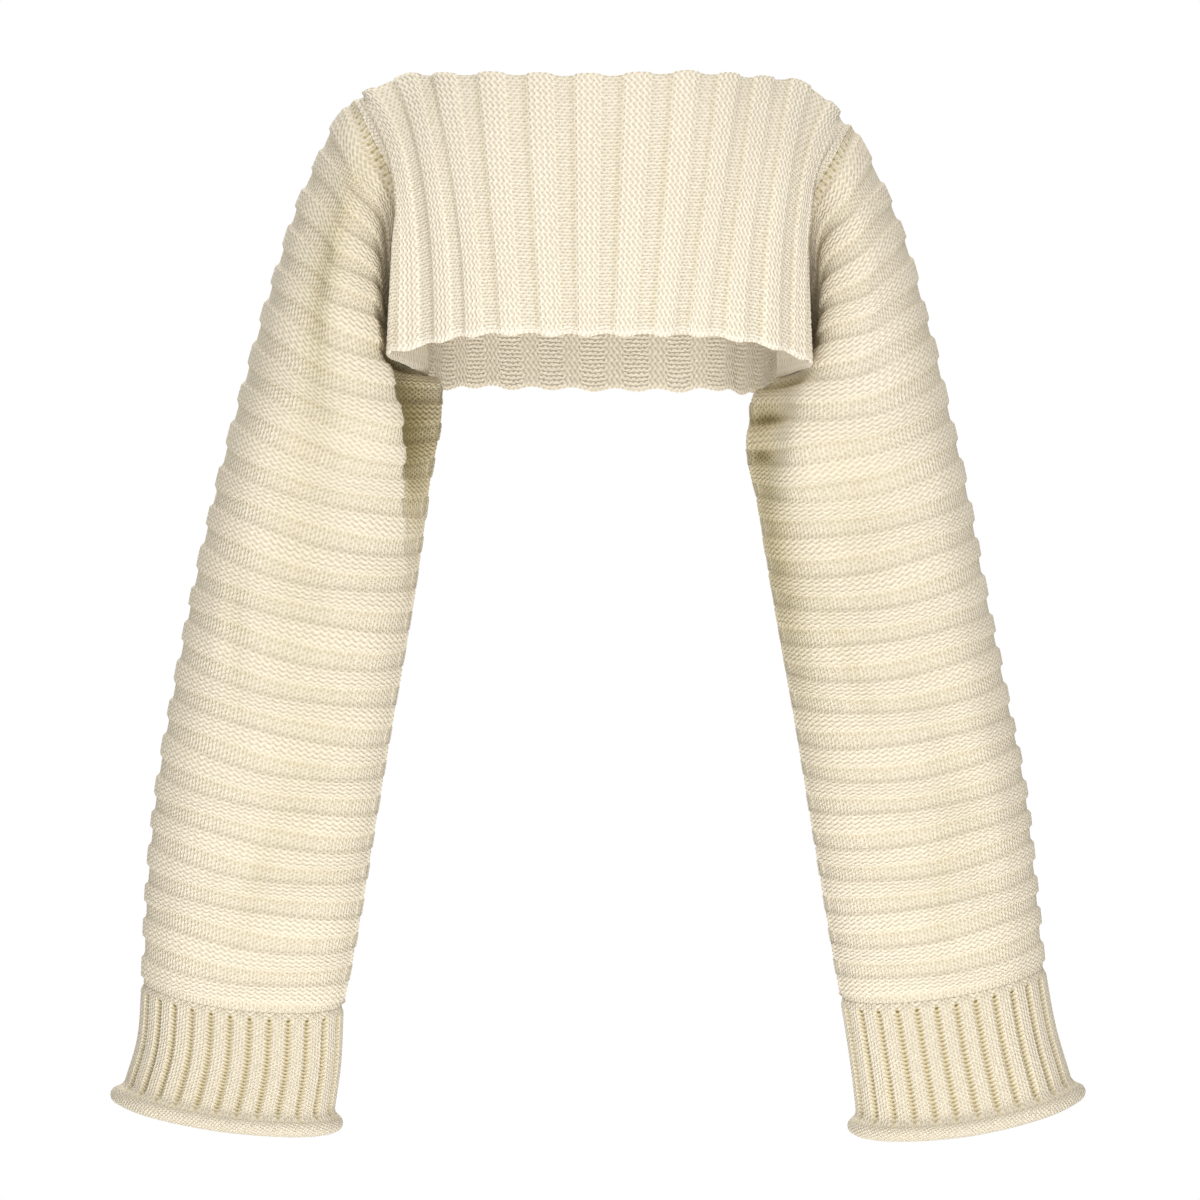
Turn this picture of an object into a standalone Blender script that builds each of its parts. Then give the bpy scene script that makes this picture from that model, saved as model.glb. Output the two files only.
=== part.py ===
"""Knitted shrug, hollow, as it hangs on a wearer: a short welted body and two long welted sleeves with ribbed cuffs.

Lengths in the tables are millimetres. X is the wearer's left, -Y is the front, +Z is up. The origin lies on the
centre plane at the height of the shoulders. Every piece is a wall of knit: its tables give the outermost surface,
which the tops of the welts touch, and the wall lies inside that.
"""

import bmesh
import bpy
import numpy as np

MM = 0.001
WALL = 2.6  # thickness of the knit between two welts
WELT = 2.4  # how far a purl welt stands out of the knit beside it
RIB = 2.0  # how far a cuff rib stands out
SEAM = 0.3  # gap between two pieces at a seam
CREAM = (0.87, 0.80, 0.62, 1.0)

# Shares of one welt's pitch at which its wall steps up and down.
WELT_STEPS = ((0.20, 0.0), (0.33, 1.0), (0.67, 1.0), (0.80, 0.0))
BODY_WELTS = 12
SLEEVE_WELTS = 23
CUFF_RIBS = 26
SLEEVE_START = BODY_WELTS / 2
SLEEVE_END = SLEEVE_START + SLEEVE_WELTS
NORMAL_EASE = 0.4  # share of its two neighbours' normals in each one at the armhole seam
SEAM_STEP = 0.35  # how far down the sleeve its direction at the armhole seam is read, in welts
FOOT_STEP = np.array([0.2, 0.0])  # the same at its foot, from the last ring up
ARMHOLE_SHARE = 0.93  # share of a panel's side that is armhole; the rest is the short side seam
SIDE_EDGE = 6.1  # panel columns past the last welt, in welt pitches of the hem
SIDE_MIDDLE = 7.1
SIDE_END = 8.1
SIDE_COLUMNS = (6.1, 6.6, 7.1, 7.6, 8.1)
SIDE_BULGE = 2.0
SHOULDER_MEET = 9.0  # the panels' tops meet in one line where they come this near the middle
AROUND = np.arange(18) / 18  # shares round a sleeve, from the outer silhouette over the front
# A panel's rows lie at the armhole's own points, and one more at the hem.
PANEL_SHARES = np.append(np.arange(10) / 9 * ARMHOLE_SHARE, 1.0)

# The front's welts: where each meets the neck or shoulder, where it meets the hem, and how fast it bends and swells.
PANEL_COLUMNS = "welt neck_x neck_y neck_z hem_x hem_y hem_z bend swell"
FRONT = (
    (-5.5, -176, -3, -8, -140, -68, -203, 4.4, 7.0),
    (-4.5, -144, -14, 3, -115, -85, -198, 2.3, 5.0),
    (-3.5, -116, -42, 0, -92, -96, -195, 1.8, 3.4),
    (-2.5, -80, -62, -2, -65, -102, -194, 1.1, 2.8),
    (-1.5, -44, -71, -4, -35, -105, -195, 1.0, 2.5),
    (-0.5, -9, -75, -5, -9, -106, -195, 1.0, 2.4),
    (0.5, 28, -74, -4, 18, -106, -195, 1.0, 2.4),
    (1.5, 64, -68, -2, 47, -103, -195, 1.0, 2.6),
    (2.5, 96, -56, -2, 71, -99, -195, 1.1, 3.0),
    (3.5, 122, -38, -2, 99, -93, -198, 1.5, 3.4),
    (4.5, 150, -12, -2, 126, -82, -203, 2.2, 5.0),
    (5.5, 177, -3, -20, 146, -68, -209, 4.0, 7.0),
)
BACK = (
    (-5.5, -176, 3, -8, -132, 60, -219, 3.0, 7.0),
    (-4.5, -144, 14, 6, -118, 73, -225, 2.3, 5.0),
    (-3.5, -116, 40, 7, -96, 83, -223, 1.8, 3.4),
    (-2.5, -80, 58, 8, -68, 88, -224, 1.1, 2.8),
    (-1.5, -44, 67, 8, -37, 92, -224, 1.0, 2.5),
    (-0.5, -9, 71, 8, -5, 94, -225, 1.0, 2.4),
    (0.5, 28, 70, 8, 28, 93, -225, 1.0, 2.4),
    (1.5, 64, 64, 8, 61, 90, -226, 1.0, 2.6),
    (2.5, 96, 53, 7, 90, 84, -225, 1.1, 3.0),
    (3.5, 122, 36, 5, 108, 80, -228, 1.5, 3.4),
    (4.5, 150, 12, 1, 124, 71, -229, 2.0, 5.0),
    (5.5, 177, 3, -20, 135, 59, -222, 3.0, 7.0),
)

# Each panel's side edge, where it turns back towards the armhole seam, from the shoulder down to the hem.
EDGE_COLUMNS = "share x y z"
FRONT_EDGE_RIGHT = (
    (0.0, -178, -0.2, -11),
    (0.1, -174, -28, -18),
    (0.21, -165, -50, -37),
    (0.31, -156, -62, -61),
    (0.41, -151, -68, -86),
    (0.62, -153, -67, -130),
    (0.83, -156, -62, -173),
    (1.0, -158, -56, -206),
)
FRONT_EDGE_LEFT = (
    (0.0, 182, -0.2, -29),
    (0.1, 178, -28, -35),
    (0.21, 170, -50, -51),
    (0.31, 160, -62, -73),
    (0.41, 155, -68, -97),
    (0.62, 154, -67, -137),
    (0.83, 156, -62, -179),
    (1.0, 158, -56, -213),
)
BACK_EDGE_RIGHT = (
    (0.0, -178, 0.2, -11),
    (0.1, -174, 24, -18),
    (0.21, -166, 43, -33),
    (0.31, -156, 54, -54),
    (0.41, -147, 59, -77),
    (0.62, -142, 60, -126),
    (0.83, -140, 53, -172),
    (1.0, -137, 46, -217),
)
BACK_EDGE_LEFT = (
    (0.0, 182, 0.2, -29),
    (0.1, 178, 24, -35),
    (0.21, 171, 43, -48),
    (0.31, 162, 54, -67),
    (0.41, 153, 59, -88),
    (0.62, 147, 60, -134),
    (0.83, 144, 53, -176),
    (1.0, 140, 46, -220),
)
SIDE_HEM_RIGHT = (-133, 24, -217)
SIDE_HEM_LEFT = (137, 22, -218)

# The sleeves' rings. A ring runs from the outer silhouette over the front to the inner one and back over the back.
# Rings above the hem pass the body's side edge first: the pit columns say where, and 0 there means a free ring.
RING_COLUMNS = (
    "welt outer_x outer_z inner_x inner_y inner_z front back droop pit_x pit_z pit_front pit_back"
)
RIGHT_RINGS = (
    (6.0, -184, -13, -134, 24, -190, 49, 48, 0, -151, -86, 50, 55),
    (6.5, -197, -29, -139, 26, -194, 55, 52, 2, -157, -97, 47, 54),
    (7.5, -211, -58, -145, 28, -200, 62, 57, 4, -162, -115, 45, 52),
    (8.5, -225, -89, -147, 30, -206, 66, 61, 6, -163, -139, 47, 52),
    (9.5, -234, -115, -145, 31, -210, 68, 64, 8, -162, -163, 46, 52),
    (10.5, -243, -144, -137, 31, -216, 69, 65, 10, -160, -190, 46, 51),
    (11.5, -252, -173, -119, 30, -223, 68, 65, 11, -155, -219, 50, 50),
    (12.5, -260, -202, -117, 27, -247, 66, 63, 12, -149, -252, 50, 49),
    (14.5, -277, -263, -125, 20, -303, 60, 58, 14, 0, 0, 0, 0),
    (17.5, -299, -354, -138, 12, -387, 54, 52, 12, 0, 0, 0, 0),
    (20.5, -316, -438, -153, 6, -473, 49, 47, 11, 0, 0, 0, 0),
    (23.5, -331, -523, -166, 2, -552, 45, 43, 10, 0, 0, 0, 0),
    (26.5, -339, -603, -178, 0, -627, 41, 40, 9, 0, 0, 0, 0),
    (29.0, -342, -673, -190, 0, -690, 38, 37, 8, 0, 0, 0, 0),
)
LEFT_RINGS = (
    (6.0, 188, -32, 137, 22, -192, 49, 48, 0, 156, -96, 50, 55),
    (6.5, 198, -50, 142, 24, -197, 55, 52, 2, 161, -106, 47, 54),
    (7.5, 214, -83, 148, 26, -203, 62, 57, 4, 164, -132, 45, 52),
    (8.5, 226, -112, 150, 28, -210, 66, 61, 6, 164, -158, 47, 52),
    (9.5, 235, -140, 146, 29, -214, 68, 64, 8, 163, -182, 46, 52),
    (10.5, 243, -171, 134, 29, -221, 69, 65, 10, 159, -207, 46, 51),
    (11.5, 251, -200, 115, 28, -233, 68, 65, 11, 150, -233, 50, 50),
    (12.5, 258, -231, 109, 25, -265, 66, 63, 12, 143, -266, 50, 49),
    (14.5, 272, -291, 118, 18, -318, 60, 58, 14, 0, 0, 0, 0),
    (17.5, 288, -376, 131, 12, -399, 54, 52, 12, 0, 0, 0, 0),
    (20.5, 304, -455, 144, 6, -474, 49, 47, 11, 0, 0, 0, 0),
    (23.5, 318, -526, 156, 2, -550, 45, 43, 10, 0, 0, 0, 0),
    (26.5, 326, -597, 168, 0, -624, 41, 40, 9, 0, 0, 0, 0),
    (29.0, 332, -661, 178, 0, -684, 38, 37, 8, 0, 0, 0, 0),
)

# Soft troughs pressed into the sleeves: centre and half length in welts, centre round the ring, lean, half width, depth.
FOLD_COLUMNS = "welt half_length around lean half_width depth"
RIGHT_FOLDS = (
    (16.5, 5.0, 0.235, 0.010, 0.045, 7.0),
    (9.0, 2.6, 0.150, 0.012, 0.050, 5.0),
    (22.0, 5.0, 0.320, -0.006, 0.050, 4.0),
    (14.0, 4.5, 0.740, 0.010, 0.050, 6.0),
    (21.0, 5.0, 0.660, -0.008, 0.045, 5.0),
)
LEFT_FOLDS = (
    (15.0, 4.0, 0.270, 0.008, 0.050, 5.0),
    (10.5, 2.2, 0.200, 0.010, 0.045, 4.0),
    (22.5, 4.5, 0.180, -0.006, 0.045, 4.0),
    (13.5, 4.0, 0.730, 0.010, 0.050, 6.0),
    (20.0, 5.0, 0.670, -0.008, 0.045, 5.0),
)

# Cuffs, from below the sleeve's last ring to the turn of the rolled edge. The same columns as a free ring.
CUFF_COLUMNS = "share outer_x outer_z inner_x inner_y inner_z front back droop"
RIGHT_CUFF = (
    (0.5, -345, -712, -192, 0, -732, 39, 38, 7),
    (1.0, -355, -747, -197, 0, -768, 41, 40, 6),
)
LEFT_CUFF = (
    (0.5, 340, -704, 185, 0, -728, 39, 38, 8),
    (1.0, 352, -745, 190, 0, -770, 41, 40, 9),
)
ROLL_RADIUS = 6.4
ROLL_OUT = 0.5  # how far the middle of the roll lies outside the cuff's outermost surface
ROLL_DOWN = 8.0
ROLL_AROUND = 40
ROLL_TURNS = (118, 80, 45, 10, -30, -70, -110, -150, 170)
RIB_STEPS = ((0.18, 0.0), (0.38, 1.0), (0.80, 1.0))


def table(names, rows):
    """The rows as one array for each named column."""
    return dict(zip(names.split(), np.array(rows, float).T))


def spline(knots, values, at):
    """A smooth curve through values at the knots, each stretch a cubic whose slopes are its neighbours' mean slope."""
    knots = np.asarray(knots, float)
    values = np.asarray(values, float)
    at = np.asarray(at, float)
    span = np.diff(knots)
    wide = (-1,) + (1,) * (values.ndim - 1)
    step = np.diff(values, axis=0) / span.reshape(wide)
    inner = (step[:-1] * span[1:].reshape(wide) + step[1:] * span[:-1].reshape(wide)) / (
        span[:-1] + span[1:]
    ).reshape(wide)
    slope = np.concatenate([step[:1], inner, step[-1:]])
    i = np.clip(np.searchsorted(knots, at, side="right") - 1, 0, len(span) - 1)
    width = span[i].reshape(wide)
    s = ((at - knots[i]) / span[i]).reshape(wide)
    return (
        values[i] * (1 + 2 * s) * (1 - s) ** 2
        + slope[i] * width * s * (1 - s) ** 2
        + values[i + 1] * s**2 * (3 - 2 * s)
        + slope[i + 1] * width * s**2 * (s - 1)
    )


def half_ring(controls, shares):
    """Points at these shares of the length of a smooth path, whose first and last controls only set its end slopes."""
    lengths = np.linalg.norm(np.diff(controls, axis=1), axis=2)
    rings = []
    for path, chord in zip(controls, lengths):
        knots = np.concatenate([[0], np.cumsum(chord**0.7)])
        fine = spline(knots, path, np.linspace(knots[1], knots[-2], 160))
        run = np.concatenate([[0], np.cumsum(np.linalg.norm(np.diff(fine, axis=0), axis=1))])
        rings.append([np.interp(shares * run[-1], run, fine[:, k]) for k in range(3)])
    return np.array(rings).transpose(0, 2, 1)


def ring_controls(row, side):
    """The control points of one half of a ring, from the outer silhouette to the inner; side is -1 front, 1 back."""
    outer = np.array([row["outer_x"], 0, row["outer_z"]])
    inner = np.array([row["inner_x"], row["inner_y"], row["inner_z"]])
    depth = row["front"] if side < 0 else row["back"]
    pit = row.get("pit_x", 0)
    if pit:
        edge = np.array([pit, 0, row["pit_z"]])
        edge_depth = row["pit_front"] if side < 0 else row["pit_back"]
        places = ((0.14, 0.66, 0.5), (0.5, 1.0, 1.0))
        points = [outer]
        for share, part, droop in places:
            at = outer + share * (edge - outer)
            points.append(at + [0, side * depth * part, -droop * row["droop"]])
        edge = edge + [0, side * edge_depth, 0]
        points.append(edge)
        points.append((edge + inner) / 2 + [np.sign(pit) * 4.0, side * 6.0, 0])
    else:
        places = ((0.146, 0.76, 0.5), (0.5, 1.0, 1.0), (0.854, 0.76, 0.6), (0.962, 0.42, 0.25))
        points = [outer]
        for share, part, droop in places:
            at = outer + share * (inner - outer)
            points.append(at + [0, side * depth * part, -droop * row["droop"]])
    points.append(inner)
    return np.array(points)


def rings(names, rows, key, at, around):
    """Rings at the numbers `at`, (rings, around, 3): the front half from share 0 to 0.5, the back half on to 1."""
    columns = table(names, rows)
    halves = []
    for side in (-1, 1):
        control = [
            ring_controls({k: v[i] for k, v in columns.items()}, side) for i in range(len(rows))
        ]
        halves.append(spline(columns[key], np.array(control), at))
    # Each half's path leads in from the other half, so that the ring is smooth where they meet.
    paths = [
        np.concatenate([other[:, 1:2], half, other[:, -2:-1]], axis=1)
        for half, other in (halves, halves[::-1])
    ]
    front = half_ring(paths[0], np.clip(around * 2, 0, 1))
    back = half_ring(paths[1], np.clip(2 - around * 2, 0, 1))
    return np.where((around <= 0.5)[None, :, None], front, back)


def normals(points, closed_rows=False):
    """Unit normals of a grid (rows, columns, 3). Columns run from +X's side so that they point out of the cloth."""
    if closed_rows:
        wrapped = np.concatenate([points[:, -1:], points, points[:, :1]], axis=1)
        across = wrapped[:, 2:] - wrapped[:, :-2]
    else:
        across = np.gradient(points, axis=1)
    down = np.gradient(points, axis=0)
    out = np.cross(down, across)
    return out / np.linalg.norm(out, axis=2, keepdims=True)


def steps_between(first, last, steps):
    """The places and heights of the steps of each welt or rib from number first to last."""
    places = [(n + share, height) for n in range(first, last) for share, height in steps]
    return np.array(places).T


def folds(rows, welt, around):
    """Depth of the soft troughs at each welt number and place round the ring, all added up."""
    f = table(FOLD_COLUMNS, rows)
    depth = np.zeros((len(welt), len(around)))
    for i in range(len(rows)):
        along = (welt[:, None] - f["welt"][i]) / f["half_length"][i]
        centre = f["around"][i] + f["lean"][i] * (welt[:, None] - f["welt"][i])
        across = (around[None, :] - centre) / f["half_width"][i]
        depth += f["depth"][i] * np.exp(-(along**2) * 1.5 - across**2)
    return depth


def quads(rows, columns, start, wrap):
    """Faces of a grid of points numbered row by row from start."""
    r = np.arange(rows - 1)[:, None]
    c = np.arange(columns if wrap else columns - 1)[None, :]
    after = (c + 1) % columns
    corners = (r * columns + c, r * columns + after, (r + 1) * columns + after, (r + 1) * columns + c)
    corners = np.broadcast_arrays(*corners)
    return np.stack([k.ravel() for k in corners], axis=1) + start


def strip(first, second, wrap):
    """Triangles between two rows of point numbers, split from each first point to the next second one."""
    if wrap:
        first, second = np.append(first, first[0]), np.append(second, second[0])
    lower = np.stack([first[:-1], first[1:], second[1:]], axis=1)
    upper = np.stack([first[:-1], second[1:], second[:-1]], axis=1)
    return np.concatenate([lower, upper]).tolist()


def new_object(name, points, faces, colour):
    """A closed mesh in metres, with its faces turned out and its own material."""
    mesh = bpy.data.meshes.new(name)
    mesh.from_pydata((points * MM).tolist(), [], faces)
    shape = bmesh.new()
    shape.from_mesh(mesh)
    bmesh.ops.recalc_face_normals(shape, faces=shape.faces)
    if shape.calc_volume(signed=True) < 0:
        bmesh.ops.reverse_faces(shape, faces=shape.faces)
    shape.to_mesh(mesh)
    shape.free()
    obj = bpy.data.objects.new(name, mesh)
    bpy.context.scene.collection.objects.link(obj)
    material = bpy.data.materials.new(name + "_knit")
    material.use_nodes = True
    shader = material.node_tree.nodes["Principled BSDF"]
    shader.inputs["Base Color"].default_value = colour
    shader.inputs["Roughness"].default_value = 0.92
    shader.inputs["Metallic"].default_value = 0.0
    mesh.materials.append(material)
    mesh.shade_smooth()
    mesh.set_sharp_from_angle(angle=0.9)
    return obj


def unit(vectors):
    """The vectors at length 1."""
    return vectors / np.linalg.norm(vectors, axis=-1, keepdims=True)


def square_to(vectors, along):
    """What is left of the vectors at right angles to the unit vectors along."""
    return vectors - along * np.sum(vectors * along, axis=1, keepdims=True)


def armhole_rings(right, at):
    """The sleeve's rings at these welt numbers, at the points that it shares with the panels."""
    return rings(RING_COLUMNS, RIGHT_RINGS if right else LEFT_RINGS, "welt", np.array(at), AROUND)


def panel_edge(right, back, share):
    """The edge along which a panel's side turns back, at these shares of its height."""
    if back:
        e = table(EDGE_COLUMNS, BACK_EDGE_RIGHT if right else BACK_EDGE_LEFT)
    else:
        e = table(EDGE_COLUMNS, FRONT_EDGE_RIGHT if right else FRONT_EDGE_LEFT)
    return spline(e["share"], np.stack([e["x"], e["y"], e["z"]], axis=1), share)


def seam_lines(right):
    """The armhole ring and the foot of the side seam, each with its outward normal and its direction to the sleeve."""
    ring, next_ring = armhole_rings(right, [SLEEVE_START, SLEEVE_START + SEAM_STEP])
    hem = np.array(SIDE_HEM_RIGHT if right else SIDE_HEM_LEFT, float)
    half = len(ring) // 2
    share = PANEL_SHARES[:-1]
    front = (panel_edge(right, False, share) + ring[: half + 1]) / 2
    back = (panel_edge(right, True, share) + np.concatenate([ring[half:], ring[:1]])[::-1]) / 2
    before = np.concatenate([front, back[-2:0:-1]])
    before[0] = ring[0] + [-np.sign(hem[0]) * 10, 0, 5]
    before[half] = hem
    along = unit(np.roll(ring, -1, axis=0) - np.roll(ring, 1, axis=0))
    ahead = unit(square_to(next_ring - ring, along))
    behind = unit(square_to(ring - before, along))
    across = ahead + behind
    out = unit(np.cross(along, across))
    out *= np.sign(np.sum(out * (ring - ring.mean(axis=0)), axis=1))[:, None]
    # Where the cloth doubles back on itself, its normal points out of the fold.
    doubled = np.linalg.norm(across, axis=1) < 1
    out[doubled] = unit(ahead - behind)[doubled]
    out = unit(out + NORMAL_EASE * (np.roll(out, 1, axis=0) + np.roll(out, -1, axis=0)))
    to_sleeve = unit(np.cross(out, along))
    to_sleeve *= np.sign(np.sum(to_sleeve * across, axis=1))[:, None]
    hem_out = np.array([np.sign(hem[0]), 0.0, 0.0])
    return ring, out, to_sleeve, hem, hem_out


def panel_sides(right, back):
    """Middle and seam columns of a panel's side from shoulder to hem, and the seam's normals."""
    ring, out, to_sleeve, hem, hem_out = seam_lines(right)
    half = len(ring) // 2
    pick = np.arange(half + 1)
    if back:
        pick = -pick
    seam = ring[pick] - to_sleeve[pick] * SEAM / 2
    sign = 1 if back else -1
    seam[0, 1] = sign * SEAM / 2
    seam[-1, 1] += sign * SEAM / 2
    seam = np.vstack([seam, hem + [0, sign * SEAM / 2, 0]])
    seam_out = np.vstack([out[pick], hem_out])
    edge = panel_edge(right, back, PANEL_SHARES)
    bulge = np.sign(hem[0]) * SIDE_BULGE * PANEL_SHARES[:, None] * [1, 0, 0]
    return edge, (edge + seam) / 2 + bulge, seam, seam_out


def panel(rows, columns, back):
    """Points of a body panel, (share, columns, 3). A welt's X and Y ease from the neck's values to the hem's."""
    c = table(PANEL_COLUMNS, rows)
    share = PANEL_SHARES
    left_over = (1 - share)[:, None]
    x = c["hem_x"] + (c["neck_x"] - c["hem_x"]) * left_over ** c["bend"]
    y = c["hem_y"] + (c["neck_y"] - c["hem_y"]) * left_over ** c["swell"]
    z = c["neck_z"] + (c["hem_z"] - c["neck_z"]) * share[:, None]
    right = panel_sides(True, back)
    left = panel_sides(False, back)
    net = [*right[2::-1], *np.stack([x, y, z], axis=2).transpose(1, 0, 2), *left[:3]]
    side = [SIDE_EDGE, SIDE_MIDDLE, SIDE_END]
    knots = np.concatenate([-np.array(side[::-1]), c["welt"], side])
    points = spline(knots, np.array(net), columns).transpose(1, 0, 2)
    sign = 1 if back else -1
    out = normals(points)
    out *= np.sign(np.sum(out[:, len(columns) // 2, 1])) * sign
    # The two panels meet at the shoulder in one upright plane.
    shoulder = np.abs(points[0, :, 1]) < SHOULDER_MEET
    points[0, shoulder, 1] = sign * SEAM / 2
    out[0, shoulder, 1] = 0
    out = unit(out)
    out[:, 0] = right[3]
    out[:, -1] = left[3]
    return points, out


def zip_faces(first, first_share, second, second_share):
    """Triangles between two rows of point numbers, stepping on whichever row's next share is the smaller."""
    faces = []
    i = j = 0
    while i < len(first) - 1 or j < len(second) - 1:
        if j == len(second) - 1 or (i < len(first) - 1 and first_share[i + 1] <= second_share[j + 1]):
            faces.append((first[i], first[i + 1], second[j]))
            i += 1
        else:
            faces.append((first[i], second[j + 1], second[j]))
            j += 1
    return faces


def build_panel(name, rows, back):
    places, heights = steps_between(-BODY_WELTS // 2, BODY_WELTS // 2, WELT_STEPS)
    plain = np.array(SIDE_COLUMNS)
    columns = np.concatenate([-plain[::-1], places, plain])
    height = np.concatenate([plain * 0, heights, plain * 0])
    inner_columns = np.concatenate([-plain[::-1], np.arange(-5.5, 5.6), plain])
    points, out = panel(rows, columns, back)
    outer = points - out * (WELT * (1 - height))[None, :, None]
    points, out = panel(rows, inner_columns, back)
    inner = points - out * (WELT + WALL)
    outer_number = np.arange(outer[..., 0].size).reshape(outer.shape[:2])
    inner_number = np.arange(inner[..., 0].size).reshape(inner.shape[:2]) + outer_number.size
    faces = quads(*outer.shape[:2], 0, False).tolist()
    faces += quads(*inner.shape[:2], outer_number.size, False)[:, ::-1].tolist()
    # The back's side is split the other way, because the sleeve's ring runs up it and down the front.
    for side in (0, -1):
        edges = (outer_number[:, side], inner_number[:, side])
        faces += strip(*(edges[::-1] if back else edges), False)
    top = zip_faces(outer_number[0], columns, inner_number[0], inner_columns)
    hem = zip_faces(outer_number[-1], columns, inner_number[-1], inner_columns)
    faces += [face[::-1] for face in top] + hem
    new_object(name, np.concatenate([outer.reshape(-1, 3), inner.reshape(-1, 3)]), faces, CREAM)


def sleeve_foot(rows):
    """A sleeve's last ring, its outward normals and its direction down the arm."""
    above, foot = rings(RING_COLUMNS, rows, "welt", SLEEVE_END - FOOT_STEP, AROUND)
    out = outward(np.stack([above, foot]))[1]
    return foot, out, unit(foot - above)


def outward(surface):
    """Normals of closed rings, all turned away from the rings' middle."""
    out = normals(surface, True)
    return out * np.sign(np.sum(out * (surface - surface.mean(axis=1, keepdims=True))))


def build_sleeve(name, right, rows, fold_rows):
    places, heights = steps_between(int(SLEEVE_START), int(SLEEVE_END), WELT_STEPS)
    welt = np.concatenate([[SLEEVE_START], places, [SLEEVE_END]])
    height = np.concatenate([[0], heights, [0]])
    plain_welt = np.arange(SLEEVE_START, SLEEVE_END + 0.5)
    ring, seam_out, to_sleeve, _, _ = seam_lines(right)
    _, foot_out, _ = sleeve_foot(rows)
    walls = []
    for at, rise in ((welt, height), (plain_welt, None)):
        surface = rings(RING_COLUMNS, rows, "welt", at, AROUND)
        surface[0] = ring + to_sleeve * SEAM / 2
        out = outward(surface)
        out[0] = seam_out
        depth = folds(fold_rows, at, AROUND)
        depth[[0, -1]] = 0
        surface = surface - out * depth[:, :, None]
        out[-1] = foot_out
        inwards = WELT + WALL if rise is None else (WELT * (1 - rise))[:, None, None]
        walls.append(surface - out * inwards)
    outer, inner = walls
    points = np.concatenate([outer.reshape(-1, 3), inner.reshape(-1, 3)])
    size = len(AROUND)
    count = outer.shape[0] * size
    top = np.arange(size)
    bottom = top + count - size
    faces = quads(outer.shape[0], size, 0, True).tolist()
    faces += quads(inner.shape[0], size, count, True)[:, ::-1].tolist()
    faces += strip(top, top + count, True)
    faces += strip(bottom, top + len(points) - size, True)
    new_object(name, points, faces, CREAM)


def cuff_wall(sleeve_rows, rows, around):
    """The cuff's outermost rings and their normals at these shares. The first lies a seam below the sleeve's foot."""
    hung = ((0.0, *sleeve_rows[-1][1:9]), *rows)
    surface = rings(CUFF_COLUMNS, hung, "share", [row[0] for row in hung], around)
    out = outward(surface)
    foot, foot_out, down = (np.vstack([k, k[:1]]) for k in sleeve_foot(sleeve_rows))
    closed = np.append(AROUND, 1.0)
    for k in range(3):
        surface[0, :, k] = np.interp(around, closed, foot[:, k] + down[:, k] * SEAM)
        out[0, :, k] = np.interp(around, closed, foot_out[:, k])
    return surface, out


def build_cuff(name, sleeve_rows, rows):
    """The ribbed wall, the rolled edge and the plain inside: three grids joined where they meet."""
    places, heights = steps_between(0, CUFF_RIBS, RIB_STEPS)
    around = places / CUFF_RIBS
    plain = np.arange(ROLL_AROUND) / ROLL_AROUND
    surface, out = cuff_wall(sleeve_rows, rows, around)
    outer = surface - out * (WELT - RIB * heights)[None, :, None]
    surface, out = cuff_wall(sleeve_rows, rows, plain)
    inner = surface - out * (WELT + WALL)
    down = unit(surface[-1] - surface[-2])
    middle = surface[-1] + out[-1] * ROLL_OUT + down * ROLL_DOWN
    roll = [
        middle + ROLL_RADIUS * (np.cos(turn) * out[-1] - np.sin(turn) * down)
        for turn in np.radians(ROLL_TURNS)
    ]
    lower = np.concatenate([*roll, *inner[::-1][1:]])
    points = np.concatenate([outer.reshape(-1, 3), lower])
    ribs, count = len(around), outer[..., 0].size
    last_outer = np.arange(ribs) + count - ribs
    roll_top = np.arange(ROLL_AROUND) + count
    inner_top = np.arange(ROLL_AROUND) + len(points) - ROLL_AROUND
    faces = quads(len(outer), ribs, 0, True).tolist()
    faces += quads(len(lower) // ROLL_AROUND, ROLL_AROUND, count, True).tolist()
    around_closed = np.append(around, around[0] + 1)
    plain_closed = np.append(plain, 1.0)
    faces += zip_faces(
        np.append(last_outer, last_outer[0]),
        around_closed,
        np.append(roll_top, roll_top[0]),
        plain_closed,
    )
    top = zip_faces(
        np.append(np.arange(ribs), 0),
        around_closed,
        np.append(inner_top, inner_top[0]),
        plain_closed,
    )
    faces += [face[::-1] for face in top]
    new_object(name, points, faces, CREAM)


for old in list(bpy.data.objects):
    bpy.data.objects.remove(old, do_unlink=True)

build_panel("front", FRONT, False)
build_panel("back", BACK, True)
build_sleeve("sleeve_right", True, RIGHT_RINGS, RIGHT_FOLDS)
build_sleeve("sleeve_left", False, LEFT_RINGS, LEFT_FOLDS)
build_cuff("cuff_right", RIGHT_RINGS, RIGHT_CUFF)
build_cuff("cuff_left", LEFT_RINGS, LEFT_CUFF)
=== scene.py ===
"""Looks of a knitted shrug: cream cotton in raised purl welts, with ribbed cuffs that end in a rolled edge.

Lengths in the tables are millimetres, and MM turns them into metres. X is the wearer's left, -Y the front and
+Z up.
"""

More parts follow.
